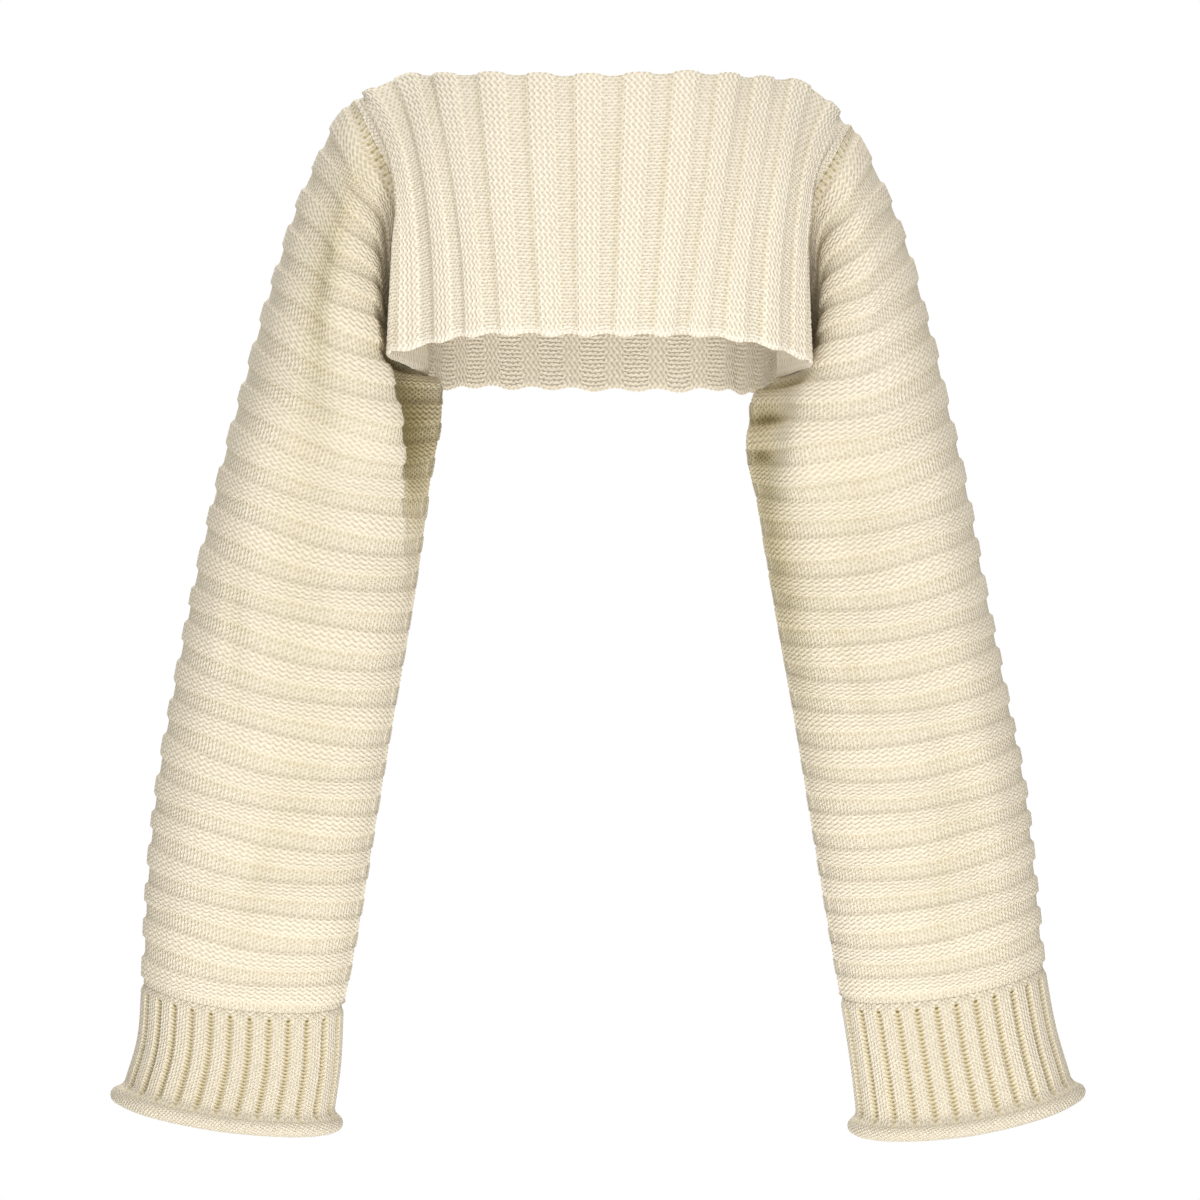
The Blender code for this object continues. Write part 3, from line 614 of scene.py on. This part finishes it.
def knit_mesh(name, points, faces, stitch, purl, pit, material, corners=(), wrap_wales=0):
    """A closed mesh in metres: stitch counts as a UV map, the purl share and the painted shade as attributes.

    faces are quads, and corners a few triangles. All turn round together if their signed volume is negative.
    stitch holds a wale and a course for each point. Where a face spans the end of the count, which runs
    from wrap_wales back to 0, its low wales are raised by wrap_wales.
    """
    corners = np.array(corners, int).reshape(-1, 3)
    triangles = np.concatenate([faces[:, :3], faces[:, [0, 2, 3]], corners])
    if np.sum(np.linalg.det(points[triangles])) < 0:
        faces, corners = faces[:, ::-1], corners[:, ::-1]
    loops = np.concatenate([faces.ravel(), corners.ravel()])
    starts = np.concatenate([np.arange(len(faces)) * 4, len(faces) * 4 + np.arange(len(corners)) * 3])
    mesh = bpy.data.meshes.new(name)
    mesh.vertices.add(len(points))
    mesh.vertices.foreach_set("co", (points * MM).astype(np.float32).ravel())
    mesh.loops.add(len(loops))
    mesh.loops.foreach_set("vertex_index", loops.astype(np.int32))
    mesh.polygons.add(len(starts))
    mesh.polygons.foreach_set("loop_start", starts.astype(np.int32))
    mesh.update(calc_edges=True)
    uv = stitch[loops].astype(np.float32)
    if wrap_wales:
        wale = uv[: faces.size, 0].reshape(-1, 4)
        wide = np.ptp(wale, axis=1) > wrap_wales / 2
        wale += np.where(wide[:, None] & (wale < wrap_wales / 2), wrap_wales, 0)
        uv[: faces.size, 0] = wale.ravel()
    mesh.uv_layers.new(name="stitch").uv.foreach_set("vector", uv.ravel())
    for attribute, values in (("purl", purl), ("pit", pit)):
        mesh.attributes.new(attribute, "FLOAT", "POINT").data.foreach_set("value", values.astype(np.float32))
    mesh.shade_smooth()
    mesh.set_sharp_from_angle(angle=SHARP_FOLD)
    mesh.materials.append(material)
    made = bpy.data.objects.new(name, mesh)
    bpy.context.scene.collection.objects.link(made)
    return made


SIDE_STEP = 0.125  # between columns on a panel's plain sides, in welts
BODY_FOOT_SHADE = (0.32, 0.10)  # painted shade on a welt's side towards the wearer's right, and on its other side
SIDE_COURSE = 3.7  # length of a course on the plain sides
NECK_SCALLOP = 0.7
HEM_SCALLOP = 1.3
NECK_REACH = 0.08  # share of the height that the scallops reach into
HEM_REACH = 0.1
EDGE_ROUND = 1.3  # how far the edge's middle stands out between the two faces
EDGE_SHADE = -0.3  # painted light: the hem's edge and the panels' inside are painted paler
INSIDE_SHADE = -0.15


def panel_surface(rows, back, columns):
    """The outermost surface of a panel and its normals.

    A welt's X and Y ease from the neck's values to the hem's by powers of the height left, bend and swell.
    """
    c = table(PANEL_COLUMNS, rows)
    left_over = (1 - PANEL_SHARES)[:, None]
    x = c["hem_x"] + (c["neck_x"] - c["hem_x"]) * left_over ** c["bend"]
    y = c["hem_y"] + (c["neck_y"] - c["hem_y"]) * left_over ** c["swell"]
    z = c["neck_z"] + (c["hem_z"] - c["neck_z"]) * PANEL_SHARES[:, None]
    right = panel_side(True, back)
    left = panel_side(False, back)
    net = [*right[2::-1], *np.stack([x, y, z], axis=2).transpose(1, 0, 2), *left[:3]]
    knots = np.concatenate([-np.array(SIDE_KNOTS[::-1]), c["welt"], SIDE_KNOTS])
    points = spline(knots, np.array(net), columns).transpose(1, 0, 2)
    sign = 1 if back else -1
    out = normals(points)
    out *= np.sign(np.sum(out[:, len(columns) // 2, 1])) * sign
    # The panels meet along the shoulders in one upright plane, and each is scalloped where it isn't joined.
    near = smooth_step((np.abs(points[0, :, 1]) - SHOULDER_MEET) / SHOULDER_MEET)
    joined = np.abs(points[0, :, 1]) < SHOULDER_MEET
    points[0, joined, 1] = sign * SEAM / 2
    out[0, joined, 1] = 0
    out = unit(out)
    out[:, 0] = right[3]
    out[:, -1] = left[3]
    inside = np.abs(columns) < BODY_WELTS / 2
    wave = -np.cos(2 * np.pi * columns) * inside
    depth = PANEL_SHARES[:, None]
    points[..., 2] += NECK_SCALLOP * near * wave * np.clip(1 - depth / NECK_REACH, 0, 1)
    points[..., 2] -= HEM_SCALLOP * wave * np.clip((depth - 1 + HEM_REACH) / HEM_REACH, 0, 1)
    return points, out


def build_panel(name, rows, back, material):
    plain = np.arange(BODY_WELTS / 2 + SIDE_STEP, SIDE_KNOTS[-1], SIDE_STEP)
    plain = np.append(plain, SIDE_KNOTS[-1])
    step = 1 / (WELT_COURSES * COURSE_STEPS)
    welted = np.arange(-BODY_WELTS / 2, BODY_WELTS / 2 + step / 2, step)
    columns = np.concatenate([-plain[::-1], welted, plain])
    surface, out = panel_surface(rows, back, columns)
    body = np.abs(columns) <= BODY_WELTS / 2
    height = np.where(body, welt_height(columns), 0)
    purl = np.where(body, is_purl(columns), 0)
    wale = np.arange(len(PANEL_SHARES)) / WALE_STEPS
    course = np.clip(columns, -BODY_WELTS / 2, BODY_WELTS / 2) * WELT_COURSES + np.zeros((len(wale), 1))
    # Past the last welt, courses are counted by length from the end of the welts.
    gap = np.linalg.norm(np.diff(surface, axis=1), axis=2) / SIDE_COURSE
    run = np.concatenate([np.zeros((len(wale), 1)), np.cumsum(gap, axis=1)], axis=1)
    first, last = len(plain), len(plain) + len(welted) - 1
    course[:, :first] -= run[:, [first]] - run[:, :first]
    course[:, last:] += run[:, last:] - run[:, [last]]
    hollow = dimples(wale[:, None], course)
    outer = surface - out * (WELT * (1 - height) + DIMPLE * hollow)[..., None]
    inner = surface - out * (WELT * (1 - INSIDE_LIFT * height) + WALL - DIMPLE * hollow)[..., None]
    grid = (len(wale), len(columns))
    middle = (outer + inner) / 2
    top = middle[0] + unit(middle[0] - middle[1]) * EDGE_ROUND
    foot = middle[-1] + unit(middle[-1] - middle[-2]) * EDGE_ROUND
    joined = (np.abs(surface[0, :, 1]) < SHOULDER_MEET) | ~body
    top[joined] = middle[0, joined]
    points = np.concatenate([k.reshape(-1, 3) for k in (outer, inner, top, foot)])
    count = grid[0] * grid[1]
    number = np.arange(count).reshape(grid)
    under = number + count
    top_row = np.arange(grid[1]) + 2 * count
    foot_row = top_row + grid[1]
    faces = np.concatenate(
        [
            quads(*grid, 0, False),
            quads(*grid, count, False)[:, ::-1],
            strip(top_row, number[0], False),
            strip(under[0], top_row, False),
            strip(number[-1], foot_row, False),
            strip(foot_row, under[-1], False),
            strip(number[:, 0], under[:, 0], False),
            strip(under[:, -1], number[:, -1], False),
        ]
    )
    corners = (
        (top_row[0], number[0, 0], under[0, 0]),
        (number[0, -1], top_row[-1], under[0, -1]),
        (number[-1, 0], foot_row[0], under[-1, 0]),
        (foot_row[-1], number[-1, -1], under[-1, -1]),
    )
    stitch = np.stack([np.broadcast_to(wale[:, None], grid), course], axis=2)
    stitch = np.concatenate([stitch.reshape(-1, 2)] * 2 + [stitch[0], stitch[-1]])
    purl = np.broadcast_to(purl, grid).ravel()
    inside_purl = np.where(np.broadcast_to(body, grid).ravel(), 1 - purl, 1)
    purl = np.concatenate([purl, inside_purl, np.ones(grid[1]), np.ones(grid[1])])
    # Painted shade along the welts' feet, then painted light on the hem's edge and on the inside
    pit = np.where(body, foot_shade(columns, *BODY_FOOT_SHADE), 0) + np.zeros(grid)
    pit[-2:] += EDGE_SHADE
    pit = np.concatenate([pit.ravel(), np.full(len(points) - count, INSIDE_SHADE)])
    made = knit_mesh(name, points, faces, stitch, purl, pit, material, corners)
    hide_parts(name.replace("_knit", ""))
    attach(made, "root")
    return made


BODY_YARN = yarn_material("cream cotton of the body")
front_knit = build_panel("front_knit", FRONT, False, BODY_YARN)
back_knit = build_panel("back_knit", BACK, True, BODY_YARN)

# The sleeves
# Each is one tube of the same knit, ringed by 23 welts and closed by a seam under the arm, where the welts of
# the back meet the front's half a pitch off. Its top is linked to the armhole, and its foot to the cuff.
SLEEVE_SHADED_CREAM = (0.81, 0.727, 0.588, 1)  # painted shade, a little deeper than the body's; the cuffs' deeper again
INNER_STEP = 0.25  # rows of the plain inside, in welts
UNDERARM = 67  # column of the underarm seam, just in front of the inner silhouette
UNDERARM_RIDGE = 1.3
END_FADE = 0.5  # welts at each end over which sway, shade and ridge fade out
HEIGHT_FADE = 4  # how many times as fast a welt's height fades there
LINK_ROWS = 2.5  # rows of the mesh taken by the link holes, at every second column
# painted shade in the link holes
LINK_SHADE = 0.9
HALF_PITCH_EASE = (0.80, 0.30)  # where round the sleeve the half pitch is eased away, and over how much of it
WELT_SWAY = 0.05  # how far a welt wanders from its ring, in pitches
SWAY_TURNS = (2, 0.37)  # of that wander, round the sleeve and for each welt
SLEEVE_FOOT_SHADE = (0.08, 0.28)  # painted shade above a welt and below it
FOOT_STEP = np.array([0.2, 0.0])  # welts above the foot of the two rings that give its direction
SEAM_EASE = 0.2  # welts over which the normals turn from the armhole's to the sleeve's own

# Soft troughs in the sleeves, the broad ones first and then the small creases: centre and half length in
# welts, centre round the ring, lean, half width, depth and painted shade. A skew over 1 draws out a trough's
# side towards the inner arm. A row without depth is only a painted shadow, and a shade below 0 is painted
# light.
FOLD_COLUMNS = "welt half_length around lean half_width depth shade skew"
FOLD_ENDS = 1.5  # the higher, the sooner a trough ends along its length
RIGHT_FOLDS = (
    (16.5, 5.0, 0.235, 0.010, 0.045, 7.0, 0.14, 1.0),
    (9.0, 2.6, 0.150, 0.012, 0.050, 5.0, 0.1, 1.0),
    (22.0, 5.0, 0.320, -0.006, 0.050, 4.0, 0.08, 1.0),
    (14.0, 4.5, 0.740, 0.010, 0.050, 6.0, 0.12, 1.0),
    (21.0, 5.0, 0.660, -0.008, 0.045, 5.0, 0.1, 1.0),
)
LEFT_FOLDS = (
    (15.0, 4.0, 0.270, 0.008, 0.050, 5.0, 0.1, 1.0),
    (10.5, 2.2, 0.200, 0.010, 0.060, 4.0, -0.2, 1.0),
    (22.5, 4.5, 0.180, -0.006, 0.045, 4.0, 0.08, 1.0),
    (13.5, 4.0, 0.730, 0.010, 0.050, 6.0, 0.12, 1.0),
    (20.0, 5.0, 0.670, -0.008, 0.045, 5.0, 0.1, 1.0),
)
RIGHT_CREASES = (
    (13.2, 3.2, 0.372, 0.020, 0.005, 7.0, 0.9, 20.0),
    (12.6, 2.4, 0.374, 0.021, 0.004, 0.0, 1.1, 30.0),
    (9.6, 4.2, 0.185, 0.004, 0.030, 2.6, 0.55, 1.0),
    (11.0, 0.26, 0.370, 0.000, 0.060, 2.6, 0.9, 1.0),
    (19.0, 2.4, 0.150, 0.014, 0.020, 1.6, 0.18, 1.0),
    (25.0, 2.0, 0.260, -0.012, 0.022, 1.5, 0.17, 1.0),
    (12.0, 0.22, 0.560, 0.000, 0.070, 2.6, 0.29, 1.0),
    (17.0, 2.6, 0.840, -0.012, 0.022, 1.8, 0.2, 1.0),
    (24.0, 2.0, 0.720, 0.012, 0.022, 1.5, 0.17, 1.0),
)
LEFT_CREASES = (
    (11.1, 0.24, 0.425, 0.000, 0.070, 4.2, 1.1, 1.0),
    (12.1, 0.22, 0.440, 0.000, 0.055, 3.6, 1.0, 1.0),
    (13.0, 0.20, 0.455, 0.000, 0.035, 2.6, 0.8, 1.0),
    (15.0, 5.5, 0.445, 0.000, 0.055, 0.0, 0.95, 1.0),
    (8.1, 0.22, 0.370, 0.000, 0.060, 2.0, 0.22, 1.0),
    (18.5, 2.2, 0.330, -0.012, 0.020, 1.6, 0.18, 1.0),
    (25.5, 2.2, 0.230, 0.010, 0.022, 1.5, 0.17, 1.0),
    (12.2, 0.22, 0.570, 0.000, 0.070, 2.6, 0.29, 1.0),
    (16.5, 2.6, 0.850, -0.012, 0.022, 1.8, 0.2, 1.0),
    (24.0, 2.0, 0.740, 0.012, 0.022, 1.5, 0.17, 1.0),
)


def folds(rows, welt, around):
    """Depth and painted shade of the troughs at each welt number and place round the ring, as added bells."""
    f = table(FOLD_COLUMNS, rows)
    depth, shade = np.zeros((2, len(welt), len(around)))
    for i in range(len(rows)):
        along = (welt[:, None] - f["welt"][i]) / f["half_length"][i]
        centre = f["around"][i] + f["lean"][i] * (welt[:, None] - f["welt"][i])
        across = around[None, :] - centre
        across /= f["half_width"][i] * np.where(across > 0, f["skew"][i], 1)
        bell = np.exp(-(along**2) * FOLD_ENDS - across**2)
        depth += f["depth"][i] * bell
        shade += f["shade"][i] * bell
    return depth, shade


def sleeve_foot(rows, around):
    """A sleeve's last ring, its outward normals and its direction down the arm."""
    above, foot = rings(RING_COLUMNS, rows, "welt", SLEEVE_END - FOOT_STEP, around)
    out = outward(np.stack([above, foot]))[1]
    return foot, out, unit(foot - above)


def tube_faces(rows, columns):
    """Quads of a grid closed both ways: round each ring, and from the last ring back to the first."""
    r = np.arange(rows)[:, None]
    c = np.arange(columns)[None, :]
    below, after = (r + 1) % rows * columns, (c + 1) % columns
    corners = np.broadcast_arrays(r * columns + c, r * columns + after, below + after, below + c)
    return np.stack([k.ravel() for k in corners], axis=1)


def sleeve_surface(right, rows, fold_rows, welt):
    """The outermost surface of a sleeve at these welt numbers, its normals and its folds' painted shade."""
    ring, seam_out, to_sleeve, _ = seam_frame(right, AROUND)
    foot_out = sleeve_foot(rows, AROUND)[1]
    surface = rings(RING_COLUMNS, rows, "welt", welt, AROUND)
    surface[0] = ring + to_sleeve * SEAM / 2
    out = outward(surface)
    near_top = np.clip(1 - (welt - SLEEVE_START) / SEAM_EASE, 0, 1)[:, None, None]
    near_foot = np.clip(1 - (SLEEVE_END - welt) / SEAM_EASE, 0, 1)[:, None, None]
    out = unit(out * (1 - near_top) + seam_out * near_top)
    out = unit(out * (1 - near_foot) + foot_out * near_foot)
    depth, shade = folds(fold_rows, welt, AROUND)
    depth[[0, -1]] = 0
    return surface - out * depth[..., None], out, shade


def build_sleeve(name, right, rows, fold_rows, material):
    step = 1 / (WELT_COURSES * COURSE_STEPS)
    welt = np.arange(SLEEVE_START, SLEEVE_END + step / 2, step)
    inside_welt = np.arange(SLEEVE_START, SLEEVE_END + INNER_STEP / 2, INNER_STEP)
    column = np.arange(len(AROUND))
    behind = smooth_step((HALF_PITCH_EASE[0] - AROUND) / HALF_PITCH_EASE[1]) * (column > UNDERARM)
    walls = []
    for at in (welt, inside_welt):
        surface, out, shade = sleeve_surface(right, rows, fold_rows, at)
        ends = smooth_step((at - SLEEVE_START) / END_FADE) * smooth_step((SLEEVE_END - at) / END_FADE)
        sway_turns = SWAY_TURNS[0] * AROUND + SWAY_TURNS[1] * at[:, None]
        sway = WELT_SWAY * np.sin(2 * np.pi * sway_turns) * ends[:, None]
        place = at[:, None] + 0.5 * behind + sway
        height = welt_height(place) * smooth_step(ends * HEIGHT_FADE)[:, None]
        wale = np.broadcast_to(column / WALE_STEPS, place.shape)
        stitch = np.stack([wale, place * WELT_COURSES], axis=2)
        hollow = dimples(wale, stitch[..., 1])
        if len(walls):
            drop = WELT * (1 - INSIDE_LIFT * height) + WALL
            pit = np.zeros(place.shape)
        else:
            drop = WELT * (1 - height) + DIMPLE * hollow
            drop -= UNDERARM_RIDGE * (column == UNDERARM) * ends[:, None]
            link_holes = (at[:, None] < SLEEVE_START + LINK_ROWS * step) & (column % 2 == 0)
            # Painted shade: the link holes, the welts' feet and the folds
            pit = link_holes * LINK_SHADE + foot_shade(place, *SLEEVE_FOOT_SHADE) * ends[:, None] + shade
        purl = is_purl(place)
        walls.append((surface - out * drop[..., None], stitch, purl, pit))
    order = slice(None, None, -1)
    joined = [np.concatenate([a, b[order]]) for a, b in zip(*walls)]
    joined[2][len(welt):] = 1 - joined[2][len(welt):]
    points, stitch, purl, pit = joined
    made = knit_mesh(
        name,
        points.reshape(-1, 3),
        tube_faces(len(points), len(AROUND)),
        stitch.reshape(-1, 2),
        purl.ravel(),
        pit.ravel(),
        material,
        wrap_wales=SLEEVE_WALES,
    )
    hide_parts(name.replace("_knit", ""))
    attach(made, "root")


SLEEVE_YARN = yarn_material("cream cotton of the sleeves", SLEEVE_SHADED_CREAM)
build_sleeve("sleeve_right_knit", True, RIGHT_RINGS, RIGHT_FOLDS + RIGHT_CREASES, SLEEVE_YARN)
build_sleeve("sleeve_left_knit", False, LEFT_RINGS, LEFT_FOLDS + LEFT_CREASES, SLEEVE_YARN)

# The cuffs
# Each is ribbed, two knit wales and one purl, and linked to the sleeve's foot by a plain band that ends in a
# line of eyelets. Its other end is plain knit that rolls outward by itself.
# The cuffs' yarn again, painted deeper still as painted shade
CUFF_SHADED_CREAM = (0.785, 0.702, 0.565, 1)
CUFF_RIBS = 26
RIB_COLUMNS = 12  # columns of the mesh for each rib
RIB = 2.0  # how far a rib is raised
RIB_HALF = 0.45  # half of a rib's foot, in pitches
RIB_SLOPE = 0.14
RIB_PURL_FROM = 0.34  # distance from a rib's middle past which the wale is purl
VALLEY = 0.9  # how much deeper the purl wale between two ribs lies, pressed into the wall
# painted shade in the valleys between ribs
VALLEY_SHADE = 0.95
TOP_DROP = 1.6  # how much lower the linked edge lies than the plain band
BAND_COURSES = 1.3  # plain courses above the ribs, which end in the eyelets
BAND_EASE = 1.5  # courses over which the linked edge rises to the band
EYELET_FROM = 0.42  # distance from a rib's middle past which an eyelet lies
EYELET_HALF = 0.45  # half of its height, in courses
# painted shadow in the eyelets
EYELET_SHADE = 1.3
CUFF_DIMPLE = 0.3
INSIDE_EVERY = 3  # the inside keeps one row of the outside in this many
RIB_WALES = 3
RIB_CENTRE = 0.63  # where in its pitch a rib's middle lies
CUFF_COURSES = 29
CUFF_TUCK = 0.2  # how far the linked edge reaches into the sleeve's
TUCK_REACH = 0.1  # share of the cuff over which it is drawn to the sleeve's foot
CUFF_COLUMNS = "share outer_x outer_z inner_x inner_y inner_z front back droop"
RIGHT_CUFF = (
    (0.5, -345, -712, -192, 0, -732, 39, 38, 7),
    (1.0, -355, -747, -197, 0, -768, 41, 40, 6),
)
LEFT_CUFF = (
    (0.5, 340, -704, 185, 0, -728, 39, 38, 8),
    (1.0, 352, -745, 190, 0, -770, 41, 40, 9),
)
ROLL_RADIUS = 6.4
ROLL_OUT = 0.5  # the roll's middle, out from the ribs' end and down from it
ROLL_DOWN = 8.0
ROLL_TURNS = np.radians([50.6, *np.linspace(50, -190, 25)])  # the stitches change over the first, narrow step
ROLL_REACH = 0.055  # share of the cuff over which the ribs flatten out into the roll
ROLL_FLAT = 0.75  # how much they flatten
ROLL_PALE = 0.4  # how much their painted shade fades
ROLL_FLARE = 1.0  # how far the ribs' end turns out to meet the roll
ROLL_STROKES = CUFF_RIBS * RIB_WALES  # pairs of slanting strokes round the roll
ROLL_COURSES = 14
ROLL_SLANT = 0.22


def build_cuff(name, sleeve_rows, rows, material):
    around = np.arange(CUFF_RIBS * RIB_COLUMNS) / (CUFF_RIBS * RIB_COLUMNS)
    hung = ((0.0, *sleeve_rows[-1][1:9]), *rows)
    share = np.linspace(0, 1, CUFF_COURSES * COURSE_STEPS + 1)
    surface = rings(CUFF_COLUMNS, hung, "share", share, around)
    out = outward(surface)
    foot, foot_out, down = sleeve_foot(sleeve_rows, around)
    ease = np.clip(1 - share / TUCK_REACH, 0, 1)[:, None, None]
    surface = surface + (foot - down * CUFF_TUCK - surface[0]) * ease
    out = unit(out * (1 - ease) + foot_out * ease)
    rib = around * CUFF_RIBS
    off = np.abs((rib - RIB_CENTRE + 0.5) % 1 - 0.5)
    grid = (len(share), len(around))
    wale = np.broadcast_to((rib - RIB_CENTRE + 0.5) * RIB_WALES, grid)
    course = np.broadcast_to(share[:, None] * CUFF_COURSES, grid)
    # The ribs start below a plain band, and flatten out into the roll.
    start = smooth_step(course - BAND_COURSES)
    height = 1 - (1 - smooth_step((RIB_HALF - off) / RIB_SLOPE)) * start
    to_roll = smooth_step((share - 1 + ROLL_REACH) / ROLL_REACH)[:, None]
    drop = WELT - RIB * height + VALLEY * (1 - height) + CUFF_DIMPLE * dimples(wale, course)
    drop = drop * (1 - ROLL_FLAT * to_roll) - ROLL_FLARE * to_roll**3
    drop += TOP_DROP * (1 - smooth_step(course / BAND_EASE))
    outer = surface - out * drop[..., None]
    inside = surface[::INSIDE_EVERY] - out[::INSIDE_EVERY] * (WELT + WALL)
    end_down = unit(surface[-1] - surface[-3])
    middle = surface[-1] + out[-1] * ROLL_OUT + end_down * ROLL_DOWN
    turn = ROLL_TURNS[:, None, None]
    roll = middle + ROLL_RADIUS * (np.cos(turn) * out[-1] - np.sin(turn) * end_down)
    points = np.concatenate([outer, roll, inside[::-1]])
    purl_rib = np.broadcast_to((off > RIB_PURL_FROM).astype(float), grid)
    eyelets = (np.abs(course - BAND_COURSES - 0.5) < EYELET_HALF) & (off > EYELET_FROM)
    # Painted shade in the valleys between the ribs and in the eyelets
    pit = VALLEY_SHADE * (1 - height) * (1 - ROLL_PALE * to_roll) + EYELET_SHADE * eyelets
    roll_course = np.linspace(0, ROLL_COURSES, len(ROLL_TURNS) - 1)[:, None] + np.zeros(grid[1])
    roll_wale = around * ROLL_STROKES + ROLL_SLANT * roll_course
    stitch = np.stack([wale, course], axis=2)
    roll_stitch = np.stack([roll_wale, roll_course], axis=2)
    start_stitch = stitch[-1:] + [0, 1 / COURSE_STEPS]
    stitch = np.concatenate([stitch, start_stitch, roll_stitch, stitch[::INSIDE_EVERY][::-1]])
    plain = np.zeros(roll_wale.shape)
    purl = np.concatenate([purl_rib, purl_rib[-1:], plain, 1 - purl_rib[::INSIDE_EVERY][::-1]])
    pit = np.concatenate([pit, pit[-1:], plain, np.zeros(inside.shape[:2])])
    made = knit_mesh(
        name,
        points.reshape(-1, 3),
        tube_faces(*points.shape[:2]),
        stitch.reshape(-1, 2),
        purl.ravel(),
        pit.ravel(),
        material,
        wrap_wales=ROLL_STROKES,
    )
    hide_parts(name.replace("_knit", ""))
    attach(made, "root")


CUFF_YARN = yarn_material("cream cotton of the cuffs", CUFF_SHADED_CREAM)
build_cuff("cuff_right_knit", RIGHT_RINGS, RIGHT_CUFF, CUFF_YARN)
build_cuff("cuff_left_knit", LEFT_RINGS, LEFT_CUFF, CUFF_YARN)

# The floor and the light
# A round pale floor at a wearer's feet, a white surround and five soft lamps: the key high on the wearer's
# left, the fill lower on the right, one overhead, one behind and one low in front.
FLOOR_HEIGHT = -2.1
FLOOR_RADIUS = 2.6
FLOOR_SIDES = 96
turns = np.arange(FLOOR_SIDES) / FLOOR_SIDES * 2 * np.pi
rim = np.stack([np.cos(turns), np.sin(turns), np.zeros(FLOOR_SIDES)], axis=1) * FLOOR_RADIUS
floor_mesh = bpy.data.meshes.new("floor")
floor_mesh.from_pydata((rim + [0, 0, FLOOR_HEIGHT]).tolist(), [], [list(range(FLOOR_SIDES))])
floor_paint = bpy.data.materials.new("pale floor")
floor_paint.use_nodes = True
floor_paint.node_tree.nodes["Principled BSDF"].inputs["Base Color"].default_value = (0.9, 0.9, 0.9, 1)
floor_paint.node_tree.nodes["Principled BSDF"].inputs["Roughness"].default_value = 0.8
floor_mesh.materials.append(floor_paint)
floor = bpy.data.objects.new("floor", floor_mesh)
bpy.context.scene.collection.objects.link(floor)

AIM = np.array([0.0, 0.0, -0.40])
SOFT_LIGHT = 0.43  # what the white surround lights the cloth with; the camera sees it at 1
# Each lamp's name, place, size in metres and power in watts
LAMPS = (
    ("key", (1.3, -2.3, 1.4), 1.1, 38),
    ("fill", (-2.1, -2.3, 0.3), 1.8, 25),
    ("top", (0.0, 0.2, 1.8), 1.4, 13),
    ("rear", (-0.9, 2.6, 0.9), 1.4, 60),
    ("low", (0.1, -1.3, -1.9), 1.6, 42),
)
for lamp_name, place, size, power in LAMPS:
    lamp_data = bpy.data.lights.new(lamp_name, "AREA")
    lamp_data.size = size
    lamp_data.energy = power
    lamp = bpy.data.objects.new(lamp_name, lamp_data)
    lamp.location = place
    lamp.rotation_euler = Vector(AIM - np.array(place)).to_track_quat("-Z", "Y").to_euler()
    bpy.context.scene.collection.objects.link(lamp)

world = bpy.data.worlds.new("white surround")
bpy.context.scene.world = world
world.use_nodes = True
surround = world.node_tree.nodes["Background"]
surround.inputs["Color"].default_value = (1, 1, 1, 1)
g = Graph(world.node_tree)
seen = g.node("ShaderNodeLightPath").outputs["Is Camera Ray"]
strength = g.math("MULTIPLY_ADD", seen, 1 - SOFT_LIGHT, SOFT_LIGHT)
g.links.new(strength, surround.inputs["Strength"])
bpy.context.scene.view_settings.view_transform = "Standard"
